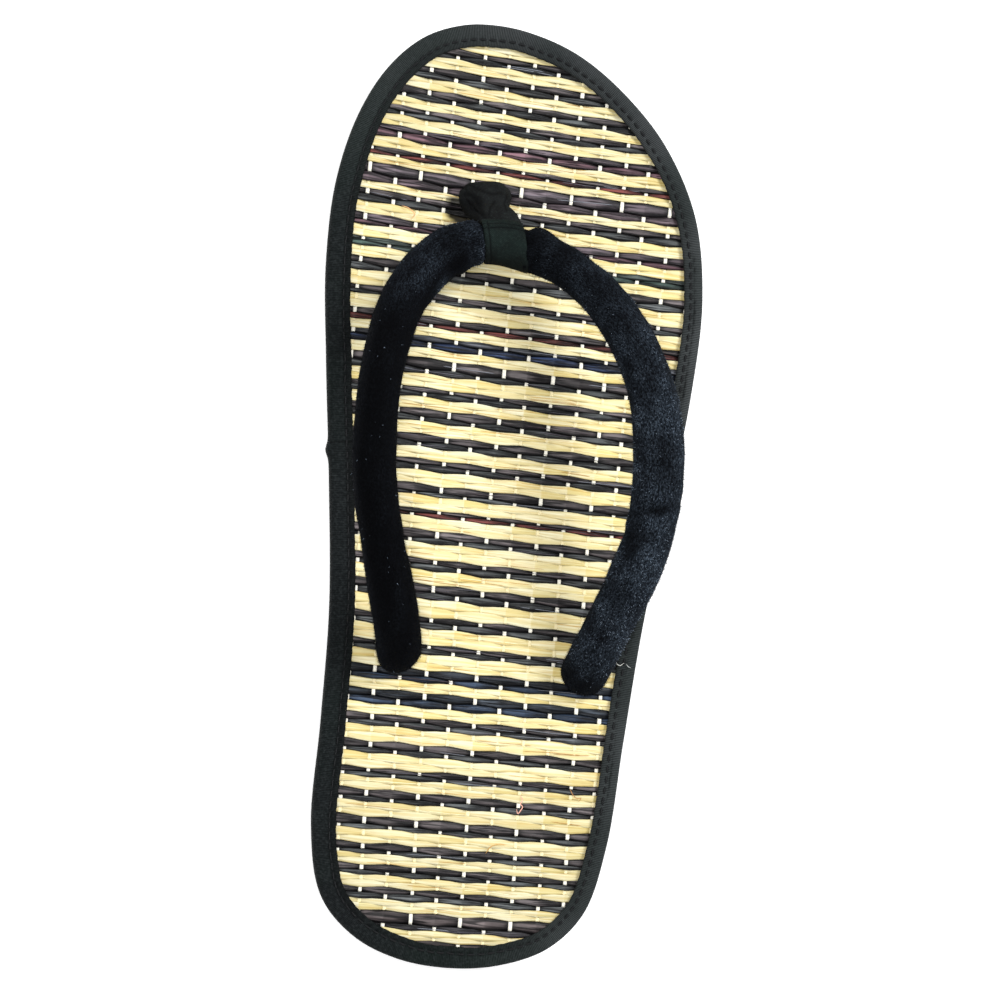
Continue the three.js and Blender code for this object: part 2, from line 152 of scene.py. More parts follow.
def mat_at(y):
    return under_at(y) + MAT_THICK


def hash_noise(x, seed):
    """Smooth noise of one value, from -1 to 1."""
    r = np.random.default_rng(seed)
    table = r.uniform(-1, 1, 512)
    i = np.floor(x).astype(int)
    f = x - i
    f = f * f * (3 - 2 * f)
    return table[i % 512] * (1 - f) + table[(i + 1) % 512] * f


def noise2(x, y, seed):
    """Smooth noise of two values, from -1 to 1."""
    r = np.random.default_rng(seed)
    table = r.uniform(-1, 1, (128, 128))
    i, j = np.floor(x).astype(int), np.floor(y).astype(int)
    f, g = x - i, y - j
    f, g = f * f * (3 - 2 * f), g * g * (3 - 2 * g)
    a = table[i % 128, j % 128] * (1 - f) + table[(i + 1) % 128, j % 128] * f
    b = table[i % 128, (j + 1) % 128] * (1 - f) + table[(i + 1) % 128, (j + 1) % 128] * f
    return a * (1 - g) + b * g


# ------------------------------------------------------------------ outline of the sole
def outline_curve(per_span=40):
    down = OUTLINE[::-1]
    pts = [TIP_TOE] + [(r[2], r[0]) for r in down] + [TIP_HEEL] + [(r[1], r[0]) for r in OUTLINE]
    pts = np.array(pts, float)
    n = len(pts)
    out = []
    for i in range(n):
        p0, p1, p2, p3 = (pts[(i + k) % n] for k in (-1, 0, 1, 2))
        d0, d1, d2 = (max(1e-4, np.hypot(*(b - a)) ** 0.5) for a, b in ((p0, p1), (p1, p2), (p2, p3)))
        t1 = ((p1 - p0) / d0 - (p2 - p0) / (d0 + d1) + (p2 - p1) / d1) * d1
        t2 = ((p2 - p1) / d1 - (p3 - p1) / (d1 + d2) + (p3 - p2) / d2) * d1
        w = (np.arange(per_span) / per_span)[:, None]
        out.append(p1 + t1 * w + (-3 * p1 + 3 * p2 - 2 * t1 - t2) * w**2 + (2 * p1 - 2 * p2 + t1 + t2) * w**3)
    return np.vstack(out)


FINE = outline_curve()


def walk(count):
    """count points round the outline at equal steps, their outward normals and the way travelled."""
    p = np.vstack([FINE, FINE[:1]])
    s = np.concatenate([[0], np.cumsum(np.hypot(*np.diff(p, axis=0).T))])
    at = np.arange(count) * s[-1] / count
    q = np.stack([np.interp(at, s, p[:, k]) for k in (0, 1)], 1)
    t = np.roll(q, -2, 0) - np.roll(q, 2, 0)
    for _ in range(2):
        t = (np.roll(t, 1, 0) + 2 * t + np.roll(t, -1, 0)) / 4
    t /= np.hypot(*t.T)[:, None]
    return q, np.stack([-t[:, 1], t[:, 0]], 1), at, s[-1]


def inside_distance(x, y):
    """How far inside the outline a point lies, negative outside."""
    x, y = np.asarray(x, float), np.asarray(y, float)
    best = np.full(x.shape, 1e9)
    sign = np.zeros(x.shape)
    q, n, _, _ = walk(700)
    for k in range(len(q)):
        dx, dy = x - q[k, 0], y - q[k, 1]
        d = dx * dx + dy * dy
        near = d < best
        best = np.where(near, d, best)
        sign = np.where(near, -(dx * n[k, 0] + dy * n[k, 1]), sign)
    return np.sqrt(best) * np.sign(sign)


# ------------------------------------------------------------------ mesh building
class Stack:
    """A joined mesh made of tubes and strips of points, in mm."""

    def __init__(self):
        self.v, self.f, self.uv, self.att, self.n = [], [], [], {}, 0

    def tube(self, P, su=None, sv=None, caps=True, wrap=True, **att):
        P = np.asarray(P, float)
        N, K, _ = P.shape
        su = np.linspace(0, 1, N) if su is None else su
        sv = np.linspace(0, 1, K + 1) if sv is None else sv
        idx = np.arange(N * K).reshape(N, K) + self.n
        kk = np.arange(K if wrap else K - 1)
        k2 = (kk + 1) % K
        a, b = idx[:-1][:, kk], idx[:-1][:, k2]
        c, d = idx[1:][:, k2], idx[1:][:, kk]
        quads = np.stack([a, b, c, d], -1).reshape(-1, 4)
        uv = np.zeros((N - 1, len(kk), 4, 2))
        uv[..., 0, 0] = uv[..., 1, 0] = su[:-1][:, None]
        uv[..., 2, 0] = uv[..., 3, 0] = su[1:][:, None]
        uv[..., 0, 1] = uv[..., 3, 1] = sv[kk][None]
        uv[..., 1, 1] = uv[..., 2, 1] = sv[kk + 1][None]
        uv = uv.reshape(-1, 4, 2)
        flat = P.reshape(-1, 3)
        flip = False
        if wrap:
            q = quads - self.n
            va, vb, vc, vd = (flat[q[:, i]] - flat.mean(0) for i in range(4))
            vol = (va * np.cross(vb, vc)).sum() + (va * np.cross(vc, vd)).sum()
            flip = vol < 0
        if flip:
            quads, uv = quads[:, ::-1], uv[:, ::-1]
        self.f.append(quads)
        self.uv.append(uv.reshape(-1, 2))
        if caps and wrap:
            first, last = idx[0], idx[-1]
            if flip:
                first, last = first, last[::-1]
            else:
                first, last = first[::-1], last
            for ring, u in ((first, su[0]), (last, su[-1])):
                self.f.append([ring])
                w = np.zeros((K, 2))
                w[:, 0] = u
                w[:, 1] = sv[:K] if (ring[0] < ring[-1]) else sv[:K][::-1]
                self.uv.append(w)
        self.v.append(flat)
        for k, val in att.items():
            val = np.asarray(val, float)
            self.att.setdefault(k, []).append(val.reshape(N * K, -1))
        self.n += N * K
        return idx

    def make(self, name, material):
        verts = np.vstack(self.v) * MM
        sizes, loops = [], []
        for block in self.f:
            if isinstance(block, list):
                for ring in block:
                    sizes.append(np.array([len(ring)]))
                    loops.append(np.asarray(ring))
            else:
                sizes.append(np.full(len(block), block.shape[1]))
                loops.append(block.reshape(-1))
        sizes, loops = np.concatenate(sizes), np.concatenate(loops)
        me = bpy.data.meshes.new(name)
        me.vertices.add(len(verts))
        me.vertices.foreach_set("co", verts.astype(np.float32).ravel())
        me.loops.add(len(loops))
        me.loops.foreach_set("vertex_index", loops.astype(np.int32))
        me.polygons.add(len(sizes))
        starts = np.concatenate([[0], np.cumsum(sizes)[:-1]])
        me.polygons.foreach_set("loop_start", starts.astype(np.int32))
        layer = me.uv_layers.new(name="OFBake")
        layer.data.foreach_set("uv", np.vstack(self.uv).astype(np.float32).ravel())
        for k, vals in self.att.items():
            vals = np.vstack(vals)
            kind = "FLOAT" if vals.shape[1] == 1 else "FLOAT_VECTOR"
            a = me.attributes.new(k, kind, "POINT")
            a.data.foreach_set("value" if kind == "FLOAT" else "vector", vals.astype(np.float32).ravel())
        me.update(calc_edges=True)
        me.validate()
        me.polygons.foreach_set("use_smooth", np.ones(len(me.polygons), bool))
        me.update()
        o = bpy.data.objects.new(name, me)
        bpy.context.scene.collection.objects.link(o)
        me.materials.append(material)
        return o


def finish_piece(o, slot, *nodes):
    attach(o, "root")
    if nodes:
        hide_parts(*nodes)
    return o


class Track:
    """Every column of a table on one smooth curve, read by the distance along the rows."""

    def __init__(self, rows):
        self.r = np.array(rows, float)
        d = np.linalg.norm(np.diff(self.r[:, :3], axis=0), axis=1)
        self.at = np.concatenate([[0], np.cumsum(d)])
        self.length = self.at[-1]
        step = np.diff(self.r, axis=0) / d[:, None]
        m = np.zeros_like(self.r)
        m[0], m[-1] = step[0], step[-1]
        for i in range(1, len(self.r) - 1):
            b, a = d[i - 1], d[i]
            m[i] = (step[i - 1] * a + step[i] * b) / (a + b)
        self.m = m

    def read(self, s):
        s = np.asarray(s, float)
        i = np.clip(np.searchsorted(self.at, s, "left") - 1, 0, len(self.at) - 2)
        w = self.at[i + 1] - self.at[i]
        t = ((s - self.at[i]) / w)[:, None]
        w = w[:, None]
        p, q = self.r[i], self.r[i + 1]
        return (2 * t**3 - 3 * t**2 + 1) * p + (t**3 - 2 * t**2 + t) * self.m[i] * w + (3 * t**2 - 2 * t**3) * q + (t**3 - t**2) * self.m[i + 1] * w


# ------------------------------------------------------------------ materials
def srgb(r, g, b):
    def f(c):
        c /= 255.0
        return c / 12.92 if c <= 0.04045 else ((c + 0.055) / 1.055) ** 2.4

    return (f(r), f(g), f(b), 1.0)


class Nodes:
    """Short hand for building one material's nodes."""

    def __init__(self, name):
        self.mat = bpy.data.materials.new(name)
        self.mat.use_nodes = True
        self.t = self.mat.node_tree
        self.t.nodes.clear()
        self.out = self.t.nodes.new("ShaderNodeOutputMaterial")
        self.bsdf = self.t.nodes.new("ShaderNodeBsdfPrincipled")
        self.t.links.new(self.bsdf.outputs[0], self.out.inputs[0])

    def put(self, socket, value):
        if isinstance(value, bpy.types.NodeSocket):
            self.t.links.new(value, socket)
        elif value is not None:
            socket.default_value = value

    def set(self, **values):
        for k, v in values.items():
            self.put(self.bsdf.inputs[k.replace("_", " ")], v)

    def attribute(self, name, vector=False):
        n = self.t.nodes.new("ShaderNodeAttribute")
        n.attribute_name = name
        return n.outputs["Vector"] if vector else n.outputs["Fac"]

    def split(self, v):
        n = self.t.nodes.new("ShaderNodeSeparateXYZ")
        self.put(n.inputs[0], v)
        return n.outputs

    def join(self, x, y, z):
        n = self.t.nodes.new("ShaderNodeCombineXYZ")
        for i, v in enumerate((x, y, z)):
            self.put(n.inputs[i], v)
        return n.outputs[0]

    def math(self, op, a, b=None, c=None, clamp=False):
        n = self.t.nodes.new("ShaderNodeMath")
        n.operation = op
        n.use_clamp = clamp
        for i, v in enumerate((a, b, c)):
            if v is not None:
                self.put(n.inputs[i], v)
        return n.outputs[0]

    def scale(self, v, by):
        n = self.t.nodes.new("ShaderNodeVectorMath")
        n.operation = "MULTIPLY"
        self.put(n.inputs[0], v)
        self.put(n.inputs[1], by)
        return n.outputs[0]

    def noise(self, v, scale, detail=2.0, rough=0.5, distortion=0.0):
        n = self.t.nodes.new("ShaderNodeTexNoise")
        self.put(n.inputs["Vector"], v)
        n.inputs["Scale"].default_value = scale
        n.inputs["Detail"].default_value = detail
        n.inputs["Roughness"].default_value = rough
        n.inputs["Distortion"].default_value = distortion
        return n.outputs["Fac"]

    def place(self):
        n = self.t.nodes.new("ShaderNodeTexCoord")
        return n.outputs["Object"]

    def ramp(self, fac, stops, mode="LINEAR"):
        n = self.t.nodes.new("ShaderNodeValToRGB")
        n.color_ramp.interpolation = mode
        e = n.color_ramp.elements
        while len(e) < len(stops):
            e.new(0.5)
        for i, (p, c) in enumerate(stops):
            e[i].position = p
            e[i].color = c if len(c) == 4 else (*c, 1)
        self.put(n.inputs[0], fac)
        return n.outputs[0]

    def mix(self, fac, a, b, mode="MIX"):
        n = self.t.nodes.new("ShaderNodeMix")
        n.data_type = "RGBA"
        n.blend_type = mode
        self.put(n.inputs[0], fac)
        self.put(n.inputs[6], a)
        self.put(n.inputs[7], b)
        return n.outputs[2]

    def map(self, v, a, b, c, d):
        n = self.t.nodes.new("ShaderNodeMapRange")
        self.put(n.inputs[0], v)
        for i, x in enumerate((a, b, c, d)):
            n.inputs[i + 1].default_value = x
        return n.outputs[0]

    def bump(self, height, distance, strength=1.0, normal=None):
        n = self.t.nodes.new("ShaderNodeBump")
        self.put(n.inputs["Height"], height)
        n.inputs["Distance"].default_value = distance
        n.inputs["Strength"].default_value = strength
        if normal is not None:
            self.put(n.inputs["Normal"], normal)
        return n.outputs[0]


def straw_material(name, natural):
    """Dried rush stalks: fibres along the pick, pale or dyed."""
    m = Nodes(name)
    fibre = m.split(m.attribute("fibre", True))  # way along in mm, across -1..1, number
    tone = m.attribute("tone", True)  # own colour of the pick, with painted shade on one flank of each stretch
    rise = m.attribute("rise")  # painted highlight along the pick: 0 at each thread that lies over it, highest just past one and fading towards the next
    broad = m.join(m.math("MULTIPLY", fibre[0], 0.045), m.math("MULTIPLY", fibre[1], 1.5), m.math("MULTIPLY", fibre[2], 7.3))
    fine = m.join(m.math("MULTIPLY", fibre[0], 0.14), m.math("MULTIPLY", fibre[1], 5.5), m.math("MULTIPLY", fibre[2], 3.1))
    lines = m.noise(fine, 1.0, 2.5, 0.6)
    stalk = m.noise(broad, 1.0, 1.5, 0.5)
    if natural:
        pale = m.mix(m.map(stalk, 0.38, 0.62, 0, 1), srgb(233, 221, 168), srgb(249, 246, 214))
        veins = m.noise(m.join(m.math("MULTIPLY", fibre[0], 0.075), m.math("MULTIPLY", fibre[1], 2.3), m.math("MULTIPLY", fibre[2], 4.1)), 1.0, 2.5, 0.6)
        colour = m.mix(m.map(veins, 0.34, 0.50, 0.62, 0.0), pale, srgb(224, 196, 126))
        colour = m.mix(m.map(lines, 0.29, 0.42, 0.5, 0.0), colour, srgb(182, 158, 98))
        colour = m.mix(1.0, colour, tone, "MULTIPLY")
        # painted shadow beside the toe thong, darkening the pale straw
        colour = m.mix(m.math("MULTIPLY", m.attribute("dim"), 0.97), colour, srgb(10, 8, 7))
        m.set(Base_Color=colour, Roughness=m.map(lines, 0.3, 0.7, 0.52, 0.40))
        m.bsdf.inputs["Specular IOR Level"].default_value = 0.35
        height = m.math("ADD", m.math("MULTIPLY", lines, 0.5), m.math("MULTIPLY", stalk, 0.6))
        m.set(Normal=m.bump(height, 0.00016, 0.9))
    else:
        # black, with a painted highlight along the middle of each stalk, broken into streaks where the fibres catch the
        # light
        streaks = m.noise(m.join(m.math("MULTIPLY", fibre[0], 0.10), m.math("MULTIPLY", fibre[1], 1.75), m.math("MULTIPLY", fibre[2], 5.7)), 1.0, 1.6, 0.6)
        mid = m.map(m.math("ABSOLUTE", m.math("ADD", m.math("SUBTRACT", fibre[1], 0.12), m.math("MULTIPLY", m.math("SUBTRACT", stalk, 0.5), 1.2))), 0.30, 0.92, 1.0, 0.0)
        painted_gleam = m.math("MULTIPLY", mid, rise, clamp=True)
        painted_gleam = m.math("MULTIPLY", painted_gleam, m.map(streaks, 0.42, 0.60, 0.10, 1.35), clamp=True)
        colour = m.mix(painted_gleam, m.mix(0.035, srgb(4, 4, 6), tone), tone)
        # painted shadow beside the toe thong, darkening the dyed straw
        colour = m.mix(m.math("MULTIPLY", m.attribute("dim"), 0.97), colour, srgb(6, 5, 6))
        m.set(Base_Color=colour, Roughness=m.map(lines, 0.3, 0.7, 0.46, 0.30))
        m.bsdf.inputs["Specular IOR Level"].default_value = 0.15
        height = m.math("ADD", m.math("MULTIPLY", lines, 0.5), m.math("MULTIPLY", stalk, 0.6))
        m.set(Normal=m.bump(height, 0.00026, 0.9))
    return m.mat


def cotton_material():
    m = Nodes("warp_cotton")
    w = m.split(m.attribute("fibre", True))
    twist = m.math("SINE", m.math("ADD", m.math("MULTIPLY", w[0], 16.0), m.math("MULTIPLY", w[1], 2.2)))
    colour = m.mix(m.map(twist, -1, 1, 0, 1), srgb(244, 238, 218), srgb(255, 254, 245))
    colour = m.mix(1.0, colour, m.mix(m.attribute("cream"), srgb(255, 255, 255), srgb(255, 244, 206)), "MULTIPLY")
    # painted shadow beside the toe thong
    colour = m.mix(m.math("MULTIPLY", m.attribute("dim"), 0.95), colour, srgb(14, 12, 11))
    m.set(Base_Color=colour, Roughness=0.85, Normal=m.bump(twist, 0.00005, 0.8))
    m.bsdf.inputs["Specular IOR Level"].default_value = 0.2
    return m.mat


def backing_material():
    m = Nodes("mat_backing")
    p = m.place()
    n = m.noise(m.scale(p, (1, 1, 1)), 900, 3, 0.6)
    # near black: painted shade for the gaps between the picks, where the backing shows through
    m.set(Base_Color=m.ramp(n, [(0.3, srgb(20, 16, 14)), (0.7, srgb(46, 38, 32))]), Roughness=0.9, Normal=m.bump(n, 0.0002, 0.6))
    m.bsdf.inputs["Specular IOR Level"].default_value = 0.15
    return m.mat


def tape_material():
    """Grosgrain: ribs across the tape, dull black-green, greyer towards the toe."""
    m = Nodes("ribbed_tape")
    w = m.split(m.attribute("weave", True))  # mm along the tape, mm across it, toe share
    rib = m.math("SINE", m.math("MULTIPLY", w[0], 2 * math.pi / 0.46))
    cross = m.math("SINE", m.math("MULTIPLY", w[1], 2 * math.pi / 0.31))
    p = m.place()
    cloud = m.noise(p, 60, 3, 0.6)
    grain = m.noise(p, 1500, 2, 0.6)
    base = m.mix(w[2], srgb(18, 23, 24), srgb(74, 78, 79))
    green = m.noise(p, 28, 2, 0.5)
    base = m.mix(m.map(green, 0.42, 0.62, 0.0, 0.45), base, srgb(22, 38, 32))
    base = m.mix(m.map(cloud, 0.3, 0.7, 0.0, 0.35), base, srgb(17, 21, 23))
    # painted shade in the troughs between the ribs
    base = m.mix(m.map(rib, -1, 1, 0.75, 0.0), base, srgb(5, 6, 7))
    base = m.mix(m.map(grain, 0.45, 0.75, 0.0, 0.3), base, srgb(62, 67, 68))
    # painted shade at the stitch dimples, in the bend at the inner edge and along the medial strip
    base = m.mix(m.math("MULTIPLY", m.attribute("mark"), 0.8), base, srgb(4, 5, 5))
    height = m.math("ADD", m.math("MULTIPLY", rib, 0.5), m.math("ADD", m.math("MULTIPLY", cross, 0.10), m.math("MULTIPLY", grain, 0.35)))
    m.set(Base_Color=base, Roughness=0.82, Normal=m.bump(height, 0.00014, 1.0))
    m.bsdf.inputs["Specular IOR Level"].default_value = 0.12
    return m.mat


def thread_material():
    m = Nodes("stitch_thread")
    w = m.split(m.attribute("fibre", True))
    twist = m.math("SINE", m.math("ADD", m.math("MULTIPLY", w[0], 14.0), m.math("MULTIPLY", w[1], 3.0)))
    m.set(Base_Color=m.mix(m.map(twist, -1, 1, 0, 1), srgb(4, 5, 7), srgb(17, 20, 23)), Roughness=0.6, Normal=m.bump(twist, 0.00006, 0.8))
    m.bsdf.inputs["Specular IOR Level"].default_value = 0.3
    return m.mat


def velvet_material():
    """Crushed velvet: near-black navy pile with lighter flecks where the nap stands; the flecks and the lighter navy
    are painted sheen.
    """
    m = Nodes("velvet")
    pile = m.attribute("pile", True)  # mm along, mm round, 0
    nap = m.attribute("nap")
    streak = m.noise(m.scale(pile, (1.5, 2.6, 1.0)), 1.0, 3.0, 0.7, 0.8)
    speck = m.noise(m.scale(pile, (2.6, 4.2, 1.0)), 1.0, 2.0, 0.6)
    clouds = m.noise(m.scale(pile, (0.10, 0.13, 1.0)), 1.0, 3, 0.6)
    # painted sheen: the pile lifts from near black towards navy and pale flecks where the nap stands, in clouds
    lift = m.math("MULTIPLY", m.map(clouds, 0.32, 0.64, 0.30, 1.0), nap, clamp=True)
    fleck = m.math("MULTIPLY", m.map(streak, 0.44, 0.78, 0.0, 1.0), m.map(speck, 0.34, 0.70, 0.25, 1.0), clamp=True)
    deep = m.mix(lift, srgb(3, 3, 4), srgb(10, 14, 19))
    colour = m.mix(m.math("MULTIPLY", fleck, lift, clamp=True), deep, srgb(104, 118, 134))
    grain = m.noise(m.scale(pile, (3.4, 5.0, 1.0)), 1.0, 2, 0.6)
    height = m.math("ADD", m.math("MULTIPLY", grain, 0.5), m.math("MULTIPLY", streak, 0.8))
    m.set(Base_Color=colour, Roughness=0.95, Normal=m.bump(height, 0.0004, 0.8))
    m.bsdf.inputs["Specular IOR Level"].default_value = 0.03
    m.bsdf.inputs["Sheen Weight"].default_value = 0.02
    m.bsdf.inputs["Sheen Roughness"].default_value = 0.35
    m.bsdf.inputs["Sheen Tint"].default_value = srgb(150, 170, 205)
    return m.mat


def twill_material():
    m = Nodes("loop_twill")
    w = m.split(m.attribute("weave", True))
    twill = m.math("SINE", m.math("MULTIPLY", m.math("ADD", w[0], m.math("MULTIPLY", w[1], 0.7)), 2 * math.pi / 0.42))
    cross = m.math("SINE", m.math("MULTIPLY", w[1], 2 * math.pi / 0.36))
    p = m.place()
    cloud = m.noise(p, 220, 3, 0.6)
    grain = m.noise(p, 2200, 2, 0.6)
    base = m.mix(m.map(cloud, 0.3, 0.7, 0, 1), srgb(11, 15, 15), srgb(22, 32, 30))
    base = m.mix(w[2], base, m.mix(m.map(cloud, 0.3, 0.7, 0, 1), srgb(14, 14, 15), srgb(27, 29, 30)))
    # painted shade in the troughs of the twill lines
    base = m.mix(m.map(twill, -1, 1, 0.35, 0.0), base, srgb(6, 8, 8))
    base = m.mix(m.map(grain, 0.5, 0.8, 0.0, 0.3), base, srgb(50, 60, 57))
    # painted shade at the fold, the seams, the creases and the heel side
    base = m.mix(m.math("MULTIPLY", m.attribute("mark"), 0.85), base, srgb(4, 5, 6))
    height = m.math("ADD", m.math("MULTIPLY", twill, 0.5), m.math("ADD", m.math("MULTIPLY", cross, 0.15), m.math("MULTIPLY", grain, 0.4)))
    m.set(Base_Color=base, Roughness=0.9, Normal=m.bump(height, 0.00008, 0.9))
    m.bsdf.inputs["Specular IOR Level"].default_value = 0.08
    return m.mat


def foam_material():
    m = Nodes("foam_rubber")
    p = m.place()
    cells = m.t.nodes.new("ShaderNodeTexVoronoi")
    cells.inputs["Scale"].default_value = 1500
    m.put(cells.inputs["Vector"], p)
    cloud = m.noise(p, 40, 3, 0.6)
    colour = m.mix(m.map(cloud, 0.3, 0.7, 0, 1), srgb(26, 27, 29), srgb(40, 41, 43))
    colour = m.mix(m.map(cells.outputs["Distance"], 0.0, 0.35, 0.45, 0.0), colour, srgb(12, 12, 13))
    m.set(Base_Color=colour, Roughness=m.map(cloud, 0.3, 0.7, 0.62, 0.8), Normal=m.bump(cells.outputs["Distance"], 0.00006, 0.5))
    m.bsdf.inputs["Specular IOR Level"].default_value = 0.3
    return m.mat


# ------------------------------------------------------------------ camera and light
AXIS = math.radians(4.9)  # the shoe's length stands this far off the picture's upright


def camera():
    place = Vector((-51.92, -6.92, 531.3)) * MM
    aim = Vector((0.6, -0.4, 14.0)) * MM
    data = bpy.data.cameras.new("camera")
    data.sensor_width = 36.0
    data.lens = 71.0
    data.clip_start, data.clip_end = 0.01, 100
    o = bpy.data.objects.new("camera", data)
    bpy.context.scene.collection.objects.link(o)
    look = (aim - place).normalized()
    up = Vector((-math.sin(AXIS), math.cos(AXIS), 0))
    side = look.cross(up).normalized()
    up = side.cross(look).normalized()
    turn = Matrix((side, up, -look)).transposed()
    o.matrix_world = Matrix.Translation(place) @ turn.to_4x4()
    bpy.context.scene.camera = o


camera()


def light(name, place, aim, size, watts, colour=(1, 1, 1)):
    data = bpy.data.lights.new(name, "AREA")
    data.shape = "DISK"
    data.size = size
    data.energy = watts
    data.color = colour
    o = bpy.data.objects.new(name, data)
    bpy.context.scene.collection.objects.link(o)
    o.location = place
    o.rotation_mode = "QUATERNION"
    o.rotation_quaternion = (Vector(aim) - Vector(place)).to_track_quat("-Z", "Y")


light("key", (-0.09, 0.0, 0.62), (0.01, 0, 0.01), 0.20, 2.4, (1.0, 0.995, 0.985))
light("window", (0.52, 0.46, 0.78), (0, 0, 0.01), 0.45, 9.0, (0.99, 0.995, 1.0))

# bright all round and dim straight overhead
world = bpy.data.worlds.new("studio")
world.use_nodes = True
wt = world.node_tree
back = wt.nodes["Background"]
way = wt.nodes.new("ShaderNodeTexCoord")
parts = wt.nodes.new("ShaderNodeSeparateXYZ")
fade = wt.nodes.new("ShaderNodeMapRange")
fade.interpolation_type = "SMOOTHSTEP"
for k, v in enumerate((0.50, 0.95, 0.80, 0.12)):
    fade.inputs[k + 1].default_value = v
wt.links.new(way.outputs["Generated"], parts.inputs[0])
wt.links.new(parts.outputs[2], fade.inputs[0])
wt.links.new(fade.outputs[0], back.inputs[1])
back.inputs[0].default_value = (0.975, 0.985, 1.0, 1)
bpy.context.scene.world = world
bpy.context.scene.view_settings.view_transform = "Standard"
bpy.context.scene.view_settings.look = "None"


def floor():
    m = Nodes("pale_floor")
    n = m.noise(m.place(), 3, 2)
    m.set(Base_Color=m.ramp(n, [(0.3, (0.88, 0.88, 0.88)), (0.7, (0.90, 0.90, 0.90))]), Roughness=0.9)
    m.bsdf.inputs["Emission Color"].default_value = (1, 1, 1, 1)
    m.bsdf.inputs["Emission Strength"].default_value = 0.35
    m.bsdf.inputs["Specular IOR Level"].default_value = 0.1
    me = bpy.data.meshes.new("floor")
    s = 8.0
    z = -0.00005
    me.from_pydata([(-s, -s, z), (s, -s, z), (s, s, z), (-s, s, z)], [], [(0, 1, 2, 3)])
    me.materials.append(m.mat)
    o = bpy.data.objects.new("floor", me)
    bpy.context.scene.collection.objects.link(o)


floor()


# ------------------------------------------------------------------ outsole
def rings(profile, q, n):
    """Closed loops of the outline: each row of the profile is (inset, height function of y)."""
    loops = []
    for inset, high in profile:
        d = inset if np.ndim(inset) else np.full(len(q), float(inset))
        p = q - n * d[:, None]
        loops.append(np.column_stack([p, high(p[:, 1])]))
    return np.array(loops)


def shell_lids(s, P, order):
    """Adds lids on the first and last loop, as strips between the left and right halves."""
    K = P.shape[1]
    half = K // 2
    rows = P.shape[0]
    up = None
    for ring, want_up in ((np.arange(K), False), ((rows - 1) * K + np.arange(K), True)):
        pts = P.reshape(-1, 3)
        for i in range(half):
            f = [ring[i], ring[(i + 1) % K], ring[(K - i - 1) % K], ring[(K - i) % K]]
            g = []
            for x in f:
                if x not in g:
                    g.append(x)
            if len(g) < 3:
                continue
            a, b, c = (pts[g[j]] for j in (0, 1, 2))
            z = (b[0] - a[0]) * (c[1] - a[1]) - (b[1] - a[1]) * (c[0] - a[0])
            if (z > 0) != want_up:
                g = g[::-1]
            s.f.append([np.array(g)])
            s.uv.append(np.array([(pts[x][0] / 130 + 0.5, pts[x][1] / 260 + 0.5) for x in g]))


def outsole_piece():
    q, n, at, total = walk(480)
    shelf = -GAP - TAPE_THICK - GAP
    s = Stack()
    floor_ = lambda d: (lambda y: underside_at(y) + d)
    under = lambda d: (lambda y: under_at(y) + d)
    rows = [(TREAD_RIM + 0.35, floor_(TREAD_DEEP)), (TREAD_RIM, floor_(0.0))]
    for k in range(7):
        a = k / 6 * math.pi / 2
        rows.append((3.0 - 2.0 * math.sin(a), floor_(1.9 * (1 - math.cos(a)))))
    for inset, t in [(0.90, 0.30), (0.82, 0.5), (0.80, 0.72), (0.86, 0.88)]:
        rows.append((inset, lambda y, t=t: (underside_at(y) + 1.9) * (1 - t) + (under_at(y) + shelf - 0.1) * t))
    rows += [(1.0, under(shelf - 0.25)), (1.35, under(shelf)), (TAPE_UNDER + GAP, under(shelf)), (TAPE_UNDER + GAP + 0.1, under(-GAP))]
    P = rings(rows, q, n)
    for i in range(5, 13):
        w = 0.05 * hash_noise(at / 9.0, 11) + 0.03 * hash_noise(at / 2.7, 12)
        P[i][:, :2] += n * w[:, None]
    s.tube(P, caps=False)
    shell_lids(s, P, True)
    tread(s)
    return s


TREAD_DEEP = 0.55
TREAD_RIM = 4.6
TREAD_PITCH = 4.4
TREAD_WAVE = 2.2


def tread(s):
    """Low wavy ribs on the underside, level with its plain rim."""
    xs = np.linspace(-50, 52, 103)
    y = -121.0
    while y < 122:
        line = y + TREAD_WAVE * np.sin(2 * math.pi * xs / 17.0)
        ok = inside_distance(xs, line) > TREAD_RIM + 0.1
        if ok.sum() > 4:
            x, l = xs[ok], line[ok]
            z0 = underside_at(l)
            sec = [np.column_stack([x, l + off, z0 + dz]) for off, dz in ((-1.5, TREAD_DEEP + 0.06), (-1.2, 0.06), (-1.1, 0.0), (1.1, 0.0), (1.2, 0.06), (1.5, TREAD_DEEP + 0.06))]
            s.tube(np.array(sec).transpose(1, 0, 2), caps=True)
        y += TREAD_PITCH


rubber = foam_material()
sole = outsole_piece().make("outsole_foam", rubber)
finish_piece(sole, "foam_rubber", "outsole")


# ------------------------------------------------------------------ weave
def slope_at(y):
    return -0.033 - 0.00020 * y


def bend_at(y):
    return 0.00046 * smooth((y - 45.0) / 35.0)


def row_y(y0, x):
    """A row of the weave that passes x = 2 at y0."""
    return y0 + slope_at(y0) * (x - 2) + bend_at(y0) * (x - 2) ** 2


